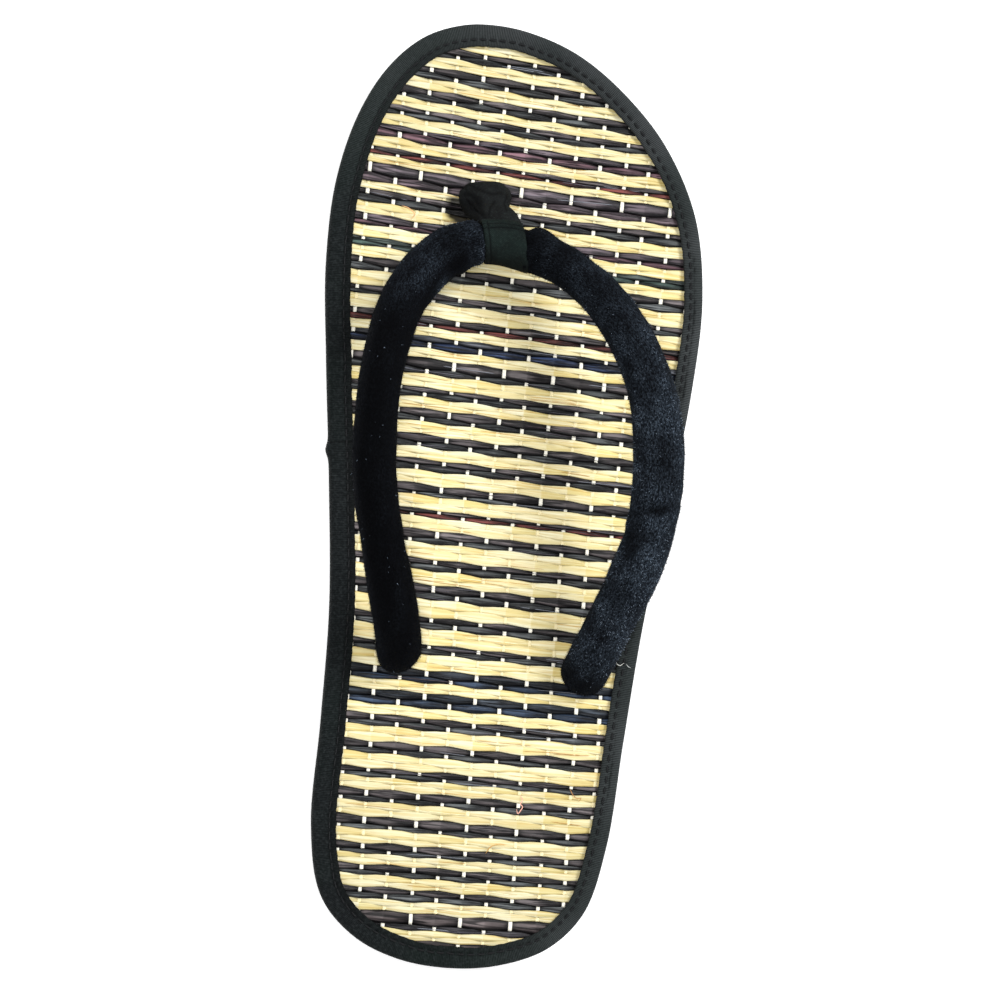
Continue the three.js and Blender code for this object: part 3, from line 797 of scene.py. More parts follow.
DRIFT = np.array([  # y, how far all threads stand off their even places there
    (-116, 0.5), (-103, 0.4), (-97, 0.3), (-91, 0.05), (-84, -0.1), (-72, -0.2), (-65, -0.25), (-58, -0.5), (-52, -0.65), (-38, -0.7),
    (-31, -0.8), (-23, -0.95), (-16, -1.05), (-9, -1.1), (-3, -1.0), (3, -0.95), (9.5, -0.75), (16, -0.5), (23, -0.3),
    (28, -0.2), (36, -0.1), (47, -0.25), (53, -0.25), (65, 0.05), (77, 0.0), (90, 0.0), (124, 0.0),
])
WARP_OFF = [0, 0, 0, -0.2, 0.2, 0, -0.05, 0.25, -0.05, 0.05, -0.3, -0.15, 0, 0.15, -0.45, -0.3, 0, 0, 0]


def drift_at(y):
    return np.interp(y, DRIFT[:, 0], DRIFT[:, 1])


def warp_x(i, y):
    """Place of the i-th warp thread."""
    i = np.asarray(i)
    return drift_at(y) + np.interp(i, WARPS, WARP_OFF) + -0.75 + WARP_PITCH * i + 0.8 * smooth((y - 40) / 80) + 0.2 * noise2(y / 31.0 + 50.0, i * 3.7 + 60.0, 21)


WARPS = np.arange(-9, 10)


def warp_index(x, y):
    """x counted in warp threads: whole numbers on the threads."""
    return np.interp(x, warp_x(WARPS, y), WARPS)


def zigzag(u):
    """+1 on even warps, -1 on odd ones, straight in between."""
    return 1 - 2 * np.abs((u + 1) % 2 - 1)


def width_inside(yc):
    """x range of a row that lies inside the tape's cover."""
    xs = np.arange(-50, 52, 0.5)
    d = inside_distance(xs, row_y(yc, xs))
    ok = xs[d > 2.6]
    return (ok.min(), ok.max()) if len(ok) else None


def picks():
    """Every pick from heel to toe: edges at x = 2, dyed or not, its colour."""
    out = []
    for k, (y, w, share, dark_share, kind) in enumerate(BANDS):
        lo, hi = y - w / 2, y + w / 2
        cut = lo + w * (1 - share)
        out.append((lo, cut, None, 1))
        out.append((cut, hi, None, 0))
        if k + 1 < len(BANDS):
            nlo = BANDS[k + 1][0] - BANDS[k + 1][1] / 2
            gap = nlo - hi
            cut = hi + gap * (1 - dark_share)
            out.append((hi, cut, DYES[kind][1], 1))
            out.append((cut, nlo, DYES[kind][0], 0))
    return out


PICKS = picks()
EDGES = [p[0] for p in PICKS] + [PICKS[-1][1]]
CREST = 0.70
PICK_STEPS = np.array([0.0, 0.03, 0.09, 0.28, 0.5, 0.72, 0.91, 0.97])


def edge_line(j, x):
    """The line between pick j-1 and pick j. It bows towards whichever pick is pressed down there."""
    y0 = EDGES[j]
    below = (EDGES[j] - EDGES[j - 1]) if j > 0 else 1.6
    above = (EDGES[j + 1] - EDGES[j]) if j + 1 < len(EDGES) else 1.6
    reach = 0.11 * min(below, above) + 0.03
    if 0 < j < len(PICKS) and PICKS[j][2] is None and PICKS[j - 1][2] is None:
        reach *= 0.6
    # parity 1 picks are pressed down at odd warps; the line moves into the pressed one
    par = PICKS[j][3] if j < len(PICKS) else 1 - PICKS[j - 1][3]
    wave = zigzag(warp_index(x, y0))
    push = reach * wave * (1 if par == 0 else -1)
    wander = 0.16 * hash_noise(x / 16.0 + 3.1 * j, 300 + j) + 0.07 * hash_noise(x / 5.0 + 1.7 * j, 500 + j)
    # the pick that is down (ticked) is the one above the line when push > 0
    return row_y(y0, x) + push + wander * min(1.0, min(below, above) / 1.5)


SECTION_U = np.array([-1.0, -0.88, -0.6, -0.3, 0.0, 0.3, 0.6, 0.88, 1.0, 0.62, 0.0, -0.62])
TOPS = 9  # how many of them lie on the upper face


def shaded(x, y):
    """The hollow beside the toe thong, where hardly any light falls: the mat is sunk a little there and a shadow is
    painted into its colour.
    """
    low = 69.3 + 0.55 * np.maximum(0, -13.2 - x)
    return smooth((x + 21.2) / 2.6) * smooth((y - low) / 1.0) * smooth((78.9 - y) / 1.0) * smooth((-8.0 - x) / 1.0)


def build_straw(dyed, name, material, seed):
    s = Stack()
    chosen = [j for j, p in enumerate(PICKS) if (p[2] is not None) == dyed]
    count = len(chosen)
    r = np.random.default_rng(seed)
    for order, j in enumerate(chosen):
        lo, hi, colour, parity = PICKS[j]
        mid = (lo + hi) / 2
        span = width_inside(mid)
        if span is None:
            continue
        grid = (WARPS[:, None] + PICK_STEPS[None]).ravel()
        turn = (np.round(grid) + parity) % 2 == 1  # next to a hidden thread, where the stalk is kinked
        grid = grid[(np.abs(grid - np.round(grid)) != 0.03) | turn]
        x = np.interp(grid, WARPS, warp_x(WARPS, mid))
        x = x[(x > span[0] + 0.2) & (x < span[1] - 0.2)]
        if len(x) < 4:
            continue
        x = np.concatenate([[span[0]], x, [span[1]]])
        index = warp_index(x, mid)
        low, high = edge_line(j, x), edge_line(j + 1, x)
        if hi - lo < 0.9:
            low, high = low - 0.1, high + 0.1
        centre = (low + high) / 2
        half = (high - low) / 2 + 0.02
        even = zigzag(index)
        down = even if parity == 0 else -even  # +1 where the warp lies over this pick
        # a stalk climbs straight from its thread to a kink over the hidden one
        rise = 0.5 - 0.5 * down
        if dyed:
            rise = 0.35 * rise + 0.65 * smooth(rise)
        near = np.exp(-(((1 - down) / 0.14) ** 2))
        half = half * (1 - 0.08 * near)
        base = under_at(centre)
        if dyed:
            thick = np.minimum(0.66, 0.16 + 0.36 * half)
        else:
            thick = np.minimum(0.50, 0.16 + 0.20 * half)
            half = half + 0.05
        thick = thick * (1 + 0.10 * hash_noise(x / 9.0 + j * 5.3, 41))
        z = base + 2.72 + CREST * rise - 0.06 * near
        # under the tape the mat is pressed flat
        d = inside_distance(x, centre)
        press = smooth((7.2 - d) / 3.0)
        z = z - press * (0.05 + (CREST - 0.1) * rise)
        u = SECTION_U
        roof = np.sqrt(np.maximum(0, 1 - np.abs(u[:TOPS]) ** (2.0 if dyed else 3.2)))
        if not dyed:
            roof = 0.32 + 0.68 * roof
        # shallow valleys between the stalks of a pick
        wide = hi - lo
        stalks = 2 if wide < 2.2 else 3
        valley = r.uniform(-0.35, 0.35)
        valley2 = valley + (0.75 if valley < 0 else -0.75)
        ridge = 1 - (0.34 if dyed else 0.10) * np.exp(-(((u[:TOPS] - valley) / 0.16) ** 2)) - (0.22 if dyed else 0.06) * np.exp(-(((u[:TOPS] - valley2) / 0.16) ** 2))
        z = z - 0.5 * shaded(x, centre)
        P = np.zeros((len(x), len(u), 3))
        for k, uu in enumerate(u):
            P[:, k, 0] = x
            P[:, k, 1] = centre + half * uu
            if k < TOPS:
                P[:, k, 2] = z + thick * (roof[k] * ridge[k])
            else:
                P[:, k, 2] = z - thick * 0.55
        around = np.concatenate([u[:TOPS], [0.9, 0.0, -0.9]])
        along = np.repeat(x[:, None], len(u), 1)
        fib = np.stack([along, np.repeat(around[None], len(x), 0), np.full_like(along, float(j))], -1)
        if dyed:
            lin = np.array(srgb(*colour)[:3])
            lin = lin * (1 + 0.22 * r.uniform(-1, 1))
        else:
            warm = r.uniform(0, 1)
            lin = 0.93 * np.array([1.0, 0.99 - 0.03 * warm, 0.98 - 0.13 * warm]) * (1 - 0.07 * r.uniform(0, 1))
            lin = lin * (1 - (0.13 if mid > 0 else 0.17) * smooth((abs(mid) - 55) / 30))
        # each stretch between two threads has its own tone at random, with painted shade on one flank: darker on dyed
        # picks, more golden on pale ones
        side = np.floor(index + 1e-6).astype(int) + 12
        left = (side + parity) % 2 == 0
        cell = ((index - parity) / 2.0) % 1.0  # 0 and 1 at the threads that lie over this pick
        number = np.floor((index - parity) / 2.0 + 1e-6).astype(int) + 8
        # painted highlight: rises just past each thread that lies over the pick and fades towards the next; the dyed
        # material shows its dye colour only there
        painted_highlight = smooth((cell - 0.01) / (0.07 + 0.12 * r.uniform(0, 1, 24)[number])) * (1 - smooth((cell - 0.34 - 0.25 * r.uniform(0, 1, 24)[number]) / 0.45))
        painted_highlight = np.maximum(painted_highlight, 0.45 * smooth((cell - 0.05) / 0.1) * smooth((0.95 - cell) / 0.1))
        if dyed:
            cell_tone_and_flank_shade = r.uniform(0.55, 1.5, 24)[number] * np.where(left, 1.1, 0.85)
            tone = lin[None, :] * cell_tone_and_flank_shade[:, None]
        else:
            gold_and_flank_shade = np.where(left, r.uniform(0.0, 0.35, 40)[side] ** 1.5, r.uniform(0.0, 1.0, 40)[side] ** 1.2)
            gold_and_flank_shade = clamp01(gold_and_flank_shade + 0.32 * smooth((x - 14) / 24))
            tone = lin[None, :] * (1 - gold_and_flank_shade[:, None] * np.array([0.12, 0.19, 0.44])[None])
        tone = np.repeat(tone[:, None, :], len(u), 1)
        sv = (order + np.linspace(0.02, 0.98, len(u) + 1)) / count
        su = (x + 52) / 104
        # painted shadow beside the toe thong, carried to the straw's colour
        dim = shaded(P[..., 0], P[..., 1])
        s.tube(P, su=su, sv=sv, fibre=fib, tone=tone, rise=np.repeat(painted_highlight[:, None], len(u), 1), dim=dim)
    return s.make(name, material)


natural = build_straw(False, "straw_natural", straw_material("straw_natural", True), 3)
dyed = build_straw(True, "straw_dyed", straw_material("straw_dyed", False), 5)
finish_piece(natural, "rush_mat", "footbed_mat")
finish_piece(dyed, "rush_mat")


def build_warps():
    s = Stack()
    sides = 8
    angles = 2 * math.pi * np.arange(sides) / sides
    n_warp = 17
    for w, i in enumerate(range(-8, 9)):
        ys, kinds, creams, lifts = [], [], [], []
        for j, (lo, hi, colour, parity) in enumerate(PICKS):
            mid, half = (lo + hi) / 2, (hi - lo) / 2
            over = (i % 2 == 0) == (parity == 0)
            xw = warp_x(i, mid)
            lo_y, hi_y = edge_line(j, np.array([xw]))[0], edge_line(j + 1, np.array([xw]))[0]
            c, h = (lo_y + hi_y) / 2, (hi_y - lo_y) / 2
            if over:
                up = 0.44 + min(0.66, 0.16 + 0.36 * h) if colour is not None else 0.42 + min(0.50, 0.16 + 0.20 * h)
                for t, k, g in ((-1.16, 0.35, 0.35), (-0.98, 0.80, 0.78), (-0.5, 1.0, up), (0.5, 1.0, up), (0.98, 0.80, 0.78), (1.16, 0.35, 0.35)):
                    ys.append(c + t * h)
                    kinds.append(k)
                    lifts.append(g)
                    creams.append(0.0 if colour is not None else 1.0)
            else:
                ys.append(c)
                kinds.append(0.0)
                lifts.append(0.0)
                creams.append(0.5)
        lifts = np.array(lifts)
        ys, kinds, creams = np.array(ys), np.array(kinds), np.array(creams)
        xs = np.array([warp_x(i, y) for y in ys])
        d = inside_distance(xs, ys)
        ok = d > 2.9
        if ok.sum() < 6:
            continue
        ys, xs, kinds, creams, lifts = ys[ok], xs[ok], kinds[ok], creams[ok], lifts[ok]
        order = np.argsort(ys)
        ys, xs, kinds, creams, lifts = ys[order], xs[order], kinds[order], creams[order], lifts[order]
        keep = np.concatenate([[True], np.diff(ys) > 0.02])
        ys, xs, kinds, creams, lifts = ys[keep], xs[keep], kinds[keep], creams[keep], lifts[keep]
        press = smooth((7.2 - inside_distance(xs, ys)) / 3.0)
        z = under_at(ys) + 2.27 + lifts - press * 0.06
        wide = WARP_WIDE / 2 * (0.82 + 0.18 * kinds) * (1 + 0.10 * hash_noise(ys / 3.0 + 5 * i, 61))
        thick = 0.23
        P = np.zeros((len(ys), sides, 3))
        for k, a in enumerate(angles):
            c, e = math.cos(a), math.sin(a)
            c = math.copysign(abs(c) ** 0.7, c)
            P[:, k, 0] = xs + wide * c
            P[:, k, 1] = ys
            P[:, k, 2] = z + thick * e
        fib = np.stack([np.repeat(ys[:, None], sides, 1), np.repeat(angles[None], len(ys), 0), np.full((len(ys), sides), float(i))], -1)
        sv = (w + np.linspace(0.02, 0.98, sides + 1)) / n_warp
        # the warps carry the painted shadow beside the toe thong too
        s.tube(P, su=(ys + 125) / 250, sv=sv, fibre=fib, cream=np.repeat(creams[:, None], sides, 1), dim=shaded(P[..., 0], P[..., 1]))
    return s.make("warp_cotton", cotton_material())


finish_piece(build_warps(), "rush_mat")


def thin_tube(s, pts, radius, sides=5, **att):
    """A thin strand through some points, tapering to its ends."""
    pts = np.array(pts, float)
    tr = Track(np.column_stack([pts, np.zeros((len(pts), 3))]))
    n = max(6, int(tr.length / 0.45))
    u = np.linspace(0, tr.length, n)
    c = tr.read(u)[:, :3]
    tg = np.gradient(c, axis=0)
    tg /= np.linalg.norm(tg, axis=1)[:, None]
    sd = np.cross(tg, [0, 0, 1.0])
    sd /= np.maximum(1e-9, np.linalg.norm(sd, axis=1))[:, None]
    up = np.cross(sd, tg)
    rad = radius * np.minimum(1, 0.25 + np.minimum(u, tr.length - u) / 1.2)
    a = 2 * math.pi * np.arange(sides) / sides
    P = c[:, None] + sd[:, None] * (rad[:, None] * np.cos(a))[..., None] + up[:, None] * (rad[:, None] * np.sin(a) * 0.8)[..., None]
    s.tube(P, **{k: np.tile(np.array(v, float), (n, sides, 1)) for k, v in att.items()})


# loose fibres where the photo shows them: points in mm, height over the mat, radius, colour
STRAYS = [
    ([(12.7, -77.6, 0.2), (13.2, -79.0, 1.2), (12.7, -79.7, 1.5), (13.4, -80.4, 1.4), (13.0, -81.4, 1.3), (12.3, -82.4, 1.1), (11.9, -81.2, 0.9)], 0.15, (236, 178, 158)),
    ([(4.8, -93.6, 0.3), (5.7, -91.8, 0.9), (6.9, -91.0, 1.1), (8.2, -90.7, 0.9), (9.9, -90.9, 0.4)], 0.11, (212, 160, 84)),
    ([(25.7, -75.0, 0.3), (26.7, -76.6, 0.9), (27.7, -77.3, 1.0), (28.8, -77.1, 0.8), (28.2, -78.3, 0.3)], 0.10, (188, 132, 74)),
    ([(-31.8, 74.8, 0.2), (-29.7, 74.1, 1.1), (-28.2, 72.7, 1.2), (-29.0, 71.4, 0.4)], 0.12, (232, 176, 122)),
    ([(35.4, -39.3, 1.5), (35.1, -40.8, 1.8), (35.9, -41.4, 1.9), (37.2, -40.6, 1.6)], 0.10, (206, 206, 200)),
    ([(37.7, -40.8, 1.5), (38.4, -41.5, 1.8), (39.1, -41.9, 1.5)], 0.09, (196, 198, 196)),
]


def strays_piece():
    s = Stack()
    r = np.random.default_rng(23)
    for pts, radius, colour in STRAYS:
        p = np.array(pts)
        p[:, 2] += mat_at(p[:, 1])
        thin_tube(s, p, radius, tone=srgb(*colour)[:3])
    # splinters lifted off the stalks, lying along them
    made = 0
    while made < 230:
        j = int(r.integers(1, len(PICKS) - 1))
        lo, hi, colour, parity = PICKS[j]
        mid = (lo + hi) / 2
        x0 = r.uniform(-46, 44)
        long_ = r.uniform(7, 20)
        x = np.linspace(x0, x0 + long_, 6)
        across = r.uniform(-0.7, 0.7) + np.linspace(0, r.uniform(-0.5, 0.5), 6)
        y = (edge_line(j, x) + edge_line(j + 1, x)) / 2 + across * (hi - lo) / 2
        if inside_distance(x, y).min() < 7.4:
            continue
        even = zigzag(warp_index(x, mid))
        down = even if parity == 0 else -even
        half = (hi - lo) / 2
        thick = min(0.66, 0.16 + 0.36 * half) if colour is not None else min(0.50, 0.16 + 0.20 * half)
        z = under_at(y) + 2.72 + CREST * (0.5 - 0.5 * down) + thick * np.sqrt(np.maximum(0.1, 1 - np.abs(across) ** 2.6)) + 0.02 + 0.10 * r.uniform(0, 1)
        if colour is None:
            c = srgb(*[(206, 164, 88), (250, 244, 206), (178, 132, 66)][int(r.integers(0, 3))])[:3]
        else:
            c = srgb(*[(96, 94, 104), (14, 14, 18), (70, 60, 66), (128, 132, 142)][int(r.integers(0, 4))])[:3]
        thin_tube(s, np.column_stack([x, y, z]), r.uniform(0.05, 0.09), tone=c)
        made += 1
    m = Nodes("loose_fibre")
    m.set(Base_Color=m.attribute("tone", True), Roughness=0.5)
    m.bsdf.inputs["Specular IOR Level"].default_value = 0.3
    return s.make("loose_fibres", m.mat)


def backing_piece():
    q, n, at, total = walk(360)
    under = lambda d: (lambda y: under_at(y) + d)
    r = 1.2
    P = rings([(r + 0.9, under(0)), (r + 0.3, under(0.6)), (r + 0.3, under(2.0)), (r + 0.7, under(2.45))], q, n)
    s = Stack()
    s.tube(P, caps=False)
    shell_lids(s, P, True)
    return s.make("mat_backing", backing_material())


finish_piece(backing_piece(), "rush_mat", "footbed_mat")
finish_piece(strays_piece(), "rush_mat")

# ------------------------------------------------------------------ tape round the rim
STITCH_PITCH = 2.85
STITCH_IN = 1.75  # from the tape's inner edge


def tape_width(n):
    half = (TAPE_TOP_LATERAL - TAPE_TOP_MEDIAL) / 2
    return TAPE_TOP_ENDS + half * n[:, 0]


def lap_at(at, total):
    """Gives back the way round unchanged; the tape's overlapping end at the medial edge is shaped in tape_piece."""
    return at


def tape_piece():
    count = 1080
    q, n, at, total = walk(count)
    # the tape starts and ends under its own lap, at the medial side
    start = int(np.argmin(np.abs(q[:, 1] - 11.2) + 1000 * (q[:, 0] > 0)))
    q, n, at = np.roll(q, -start, 0), np.roll(n, -start, 0), np.roll(at, -start)
    run = np.arange(count) * total / count
    stitches = round(total / STITCH_PITCH)
    phase = 2 * math.pi * at / (total / stitches)
    w = tape_width(n)
    w = w + 0.12 * hash_noise(at / 7.0, 31) + 0.05 * np.cos(phase)
    top = MAT_THICK + GAP
    T = TAPE_THICK
    # the end of the tape is turned under and laps over its start at the medial edge
    nub = np.exp(-(((q[:, 1] - 8.9) / 1.9) ** 2)) * (q[:, 0] < 0)
    lap = smooth((q[:, 1] - 2.0) / 1.2) * smooth((13.0 - q[:, 1]) / 5.0) * (q[:, 0] < 0) * 0.25
    belly = 0.05 * hash_noise(at / 11.0, 32) + 0.03 * hash_noise(at / 3.1, 33)
    pucker = smooth(0.5 - 0.9 * np.cos(phase))  # 0 along a stitch, 1 where the thread is below and the tape puffs up
    rows = []

    def row(inset, high, bulge=0.0, soft=0.0):
        rows.append((inset, high, bulge, soft))

    # from under the sole's edge, round the rim, over the top and back along the inside
    row(TAPE_UNDER, -GAP - T)
    row(2.6, -GAP - T)
    row(1.5, -GAP - T)
    row(0.85, -GAP - T + 0.30)
    row(0.42, -0.35, 0.5)
    row(0.14, 0.6, 0.8)
    row(0.0, MAT_THICK / 2, 1.0)
    row(0.06, MAT_THICK - 0.8, 1.0)
    row(0.26, MAT_THICK + 0.15, 1.0)
    row(0.62, top + T * 0.55, 0.9)
    row(1.10, top + T * 0.86, 0.6)
    row(1.80, top + T * 1.02, 0.3)
    row(2.60, top + T * 1.06, 0.0)
    row("stitch-1.0", top + T * 1.04, 0.0, 0.03)
    row("stitch-0.55", top + T * 0.98, 0.0, 0.12)
    row("stitch-0.22", top + T * 0.84, 0.0, 0.16)
    row("stitch+0.22", top + T * 0.82, 0.0, 0.12)
    row("stitch+0.55", top + T * 0.94, 0.0, 0.09)
    row("stitch+1.0", top + T * 0.98, 0.0, 0.04)
    row("edge-0.35", top + T * 0.92)
    row("edge-0.05", top + T * 0.66)
    row("edge-0.0", top + T * 0.34)
    row("edge-0.12", top + 0.02)
    row(1.9, top)
    row(1.35, top - 0.3)
    row(1.22, MAT_THICK - 0.5)
    row(1.22, 0.5)
    row(1.9, -GAP)
    row(TAPE_UNDER, -GAP)
    loops = []
    for inset, high, bulge, soft in rows:
        if isinstance(inset, str):
            base, off = (inset[:6], float(inset[6:])) if inset.startswith("stitch") else (inset[:4], float(inset[4:]))
            d = (w - STITCH_IN + off) if base == "stitch" else (w + off)
        else:
            d = np.full(count, float(inset))
        d = d - bulge * (0.75 * nub + 0.10 * belly)
        p = q - n * d[:, None]
        lift = (lap + 0.9 * nub * (high > 0)) * (high > MAT_THICK / 2) * np.clip(1 - d / 7, 0, 1)
        wave = belly * (0.8 if high > top else 0.0) - soft * (1 - pucker) * 0.9
        loops.append(np.column_stack([p, under_at(p[:, 1]) + high + lift * 0.6 + wave]))
    P = np.array(loops).transpose(1, 0, 2)  # along, across
    P = np.concatenate([P, P[:1]])
    s = Stack()
    idx = s.n
    N, K = count, P.shape[1]
    prof = np.concatenate([[0], np.cumsum(np.linalg.norm(np.diff(P[0], axis=0), axis=1))])
    # greyer round the toe and down the outer side
    toe = np.maximum(0.70 * smooth((q[:, 1] - 60) / 60.0), 0.95 * smooth((n[:, 0] + 0.1) / 0.9))
    weave = np.stack([np.repeat(run[:, None], K, 1), np.repeat(prof[None], N, 0), np.repeat(toe[:, None], K, 1)], -1)
    # closed round the rim: build as a wrapped grid in both directions
    grid = np.arange(N * K).reshape(N, K)
    a, b = grid, np.roll(grid, -1, 1)
    c, d = np.roll(np.roll(grid, -1, 0), -1, 1), np.roll(grid, -1, 0)
    quads = np.stack([a, b, c, d], -1).reshape(-1, 4)
    flat = P[:-1].reshape(-1, 3)
    va, vb, vc, vd = (flat[quads[:, i]] for i in range(4))
    vol = (va * np.cross(vb, vc)).sum() + (va * np.cross(vc, vd)).sum()
    full = np.append(prof, prof[-1] + np.linalg.norm(P[0, 0] - P[0, -1]))
    full = full / full[-1]
    uu = np.zeros((N, K, 4, 2))
    i = np.arange(N)[:, None]
    k = np.arange(K)[None]
    lane = 6  # the long strip is laid in six lanes of the map
    per = N // lane
    lane_of = np.minimum(i // per, lane - 1)
    u0 = (i - lane_of * per) / per
    u1 = (i - lane_of * per + 1) / per
    v0 = (lane_of + 0.02 + 0.96 * full[:-1][None]) / lane
    v1 = (lane_of + 0.02 + 0.96 * full[1:][None]) / lane
    uu[..., 0, 0], uu[..., 0, 1] = u0, v0
    uu[..., 1, 0], uu[..., 1, 1] = u0, v1
    uu[..., 2, 0], uu[..., 2, 1] = u1, v1
    uu[..., 3, 0], uu[..., 3, 1] = u1, v0
    uu = uu.reshape(-1, 4, 2)
    if vol < 0:
        quads, uu = quads[:, ::-1], uu[:, ::-1]
    s.v.append(flat)
    s.f.append(quads)
    s.uv.append(uu.reshape(-1, 2))
    s.att["weave"] = [weave.reshape(-1, 3)]
    # painted shade: darker where the thread pulls the tape down, and in the bend at the inner edge
    mark = np.zeros((N, K))
    mark[:, 14:18] = (np.array([0.15, 0.75, 0.75, 0.15])[None]) * (1 - pucker)[:, None] ** 1.2
    mark[:, 17:23] = np.maximum(mark[:, 17:23], 0.28)
    # painted shade: on the medial side the strip between the stitches and the inner edge lies darker
    mark[:, 15:23] = np.maximum(mark[:, 15:23], 0.55 * smooth((-n[:, 0] - 0.25) / 0.6)[:, None])
    s.att["mark"] = [mark.reshape(-1, 1)]
    s.n += len(flat)
    return s.make("binding_tape", tape_material())


finish_piece(tape_piece(), "ribbed_tape", "edge_binding")


def stitch_piece():
    q, n, at, total = walk(2160)
    stitches = round(total / STITCH_PITCH)
    w = tape_width(n) + 0.12 * hash_noise(at / 7.0, 31)
    line = q - n * (w - STITCH_IN)[:, None]
    s = Stack()
    sides = 6
    r = np.random.default_rng(9)
    for k in range(stitches):
        mid = (k + 0.0) * total / stitches
        half = 1.12 + 0.10 * r.uniform(-1, 1)
        skew = 0.07 * r.uniform(-1, 1)
        ts = np.array([-1.18, -1.0, -0.72, -0.3, 0.3, 0.72, 1.0, 1.18])
        pos = (mid + ts * half) % total
        px = np.interp(pos, np.append(at, total), np.append(line[:, 0], line[0, 0]))
        py = np.interp(pos, np.append(at, total), np.append(line[:, 1], line[0, 1]))
        nx = np.interp(pos, np.append(at, total), np.append(n[:, 0], n[0, 0]))
        ny = np.interp(pos, np.append(at, total), np.append(n[:, 1], n[0, 1]))
        px, py = px + nx * skew * ts, py + ny * skew * ts
        lift = np.array([-0.45, -0.16, 0.05, 0.14, 0.14, 0.05, -0.16, -0.45])
        z = under_at(py) + MAT_THICK + GAP + TAPE_THICK * 0.80 + lift
        rad = 0.22 * np.array([0.6, 0.9, 1, 1, 1, 1, 0.9, 0.6])
        P = np.zeros((len(ts), sides, 3))
        for i in range(sides):
            a = 2 * math.pi * i / sides
            P[:, i, 0] = px + nx * rad * math.cos(a)
            P[:, i, 1] = py + ny * rad * math.cos(a)
            P[:, i, 2] = z + rad * 0.85 * math.sin(a)
        fib = np.zeros((len(ts), sides, 3))
        fib[..., 0] = (ts * half)[:, None]
        fib[..., 1] = (2 * math.pi * np.arange(sides) / sides)[None]
        fib[..., 2] = k
        s.tube(P, su=np.linspace(0, 1, len(ts)), sv=(k + np.linspace(0.05, 0.95, sides + 1)) / stitches, fibre=fib)
    return s.make("binding_stitch", thread_material())


finish_piece(stitch_piece(), "ribbed_tape")


# ------------------------------------------------------------------ strap roll
def over_mat(rows):
    return np.column_stack([rows[:, 0], rows[:, 1], mat_at(rows[:, 1]) + rows[:, 2]])


def carried_faces(tangents, start):
    """A face direction carried along a line of tangents, straight up where it starts."""
    faces = np.zeros_like(tangents)
    t = tangents[start]
    f = np.array([0, 0, 1.0]) - t * t[2]
    faces[start] = f / np.linalg.norm(f)
    for step in (1, -1):
        i = start + step
        while 0 <= i < len(tangents):
            f = faces[i - step] - tangents[i] * (faces[i - step] @ tangents[i])
            faces[i] = f / np.linalg.norm(f)
            i += step
    return faces


TRACK = Track(ROLL)
APEX_AT = TRACK.at[ROLL_APEX]
ROLL_STEP = 0.62


def roll_frames():
    before = int(APEX_AT / ROLL_STEP)
    after = int((TRACK.length - APEX_AT) / ROLL_STEP)
    s = np.concatenate([np.linspace(0, APEX_AT, before + 1), np.linspace(APEX_AT, TRACK.length, after + 1)[1:]])
    rows = TRACK.read(s)
    c = over_mat(rows)
    a = over_mat(TRACK.read(np.maximum(0, s - 0.5)))
    b = over_mat(TRACK.read(np.minimum(TRACK.length, s + 0.5)))
    t = b - a
    t /= np.linalg.norm(t, axis=1)[:, None]
    f = carried_faces(t, before)
    lean = np.radians(rows[:, 5])
    side0 = np.cross(t, f)
    # turn the face about the tangent
    face = f * np.cos(lean)[:, None] + side0 * np.sin(lean)[:, None] * 1.0
    face = f * np.cos(lean)[:, None] + np.cross(t, f) * np.sin(lean)[:, None]
    side = np.cross(t, face)
    side /= np.linalg.norm(side, axis=1)[:, None]
    return s, rows, c, t, face, side, before


# soft troughs (minus) and ridges (plus) across the roll: distance from the apex in mm (minus to
# the medial side), direction round the roll in degrees from the broad face towards the foot's
# side, length round in degrees, width along in mm, height in mm, slant in mm per 90 degrees
FOLDS = [
    (-7.6, 0, 200, 1.3, 0.55, 0.6), (-9.8, 20, 90, 1.1, -0.45, 1.5), (-12.4, 120, 80, 1.9, 0.50, 2.2), (-15.6, 110, 70, 1.2, -0.55, 2.0),
    (-20.5, 128, 60, 1.5, -0.60, 3.0), (-24.0, 120, 70, 2.6, 0.65, 1.5), (-28.5, 125, 60, 1.3, -0.55, 1.0), (-33.0, 60, 60, 1.6, -0.25, 3.0),
    (7.4, 0, 200, 1.2, 0.40, -0.4), (9.4, 10, 100, 1.2, -0.40, -1.0), (13.0, 250, 80, 1.8, -0.35, -2.0), (18.0, 240, 70, 2.4, 0.30, -2.0),
    (24.0, 245, 60, 1.4, -0.35, -2.5), (31.0, 255, 60, 1.6, -0.25, 2.0), (40.0, 300, 70, 2.2, -0.22, 3.0), (52.0, 40, 80, 2.4, -0.22, -3.0),
    (88.5, 5, 110, 1.3, -0.62, 2.6), (91.8, 20, 130, 2.4, 0.34, 3.0), (85.0, 20, 120, 1.8, 0.22, 2.0),
    (-13.0, 270, 150, 5.5, 0.80, 0.0), (9.0, 275, 130, 3.0, 0.55, 0.0), (96.0, 60, 80, 1.6, -0.28, 2.0), (79.0, 330, 80, 2.2, -0.24, -2.5),
    (112.0, 20, 100, 2.2, -0.20, 2.0), (118.0, 40, 120, 1.8, 0.20, 1.0), (-70.0, 300, 80, 2.4, -0.20, 2.0), (-92.0, 60, 90, 2.2, -0.22, -2.0),
    (-104.0, 20, 120, 2.0, -0.18, 2.0), (-48.0, 80, 70, 2.0, -0.24, 2.0), (66.0, 60, 80, 2.6, 0.18, 2.0),
]


def pinch_at(way, deg):
    """How far the tape has drawn the roll in on its heel side, by the way from the apex."""
    return 1.65 * np.exp(-(((way + 6.5) / 6.5) ** 2)) * np.maximum(0, np.cos(np.radians(deg - 80.0))) ** 1.5


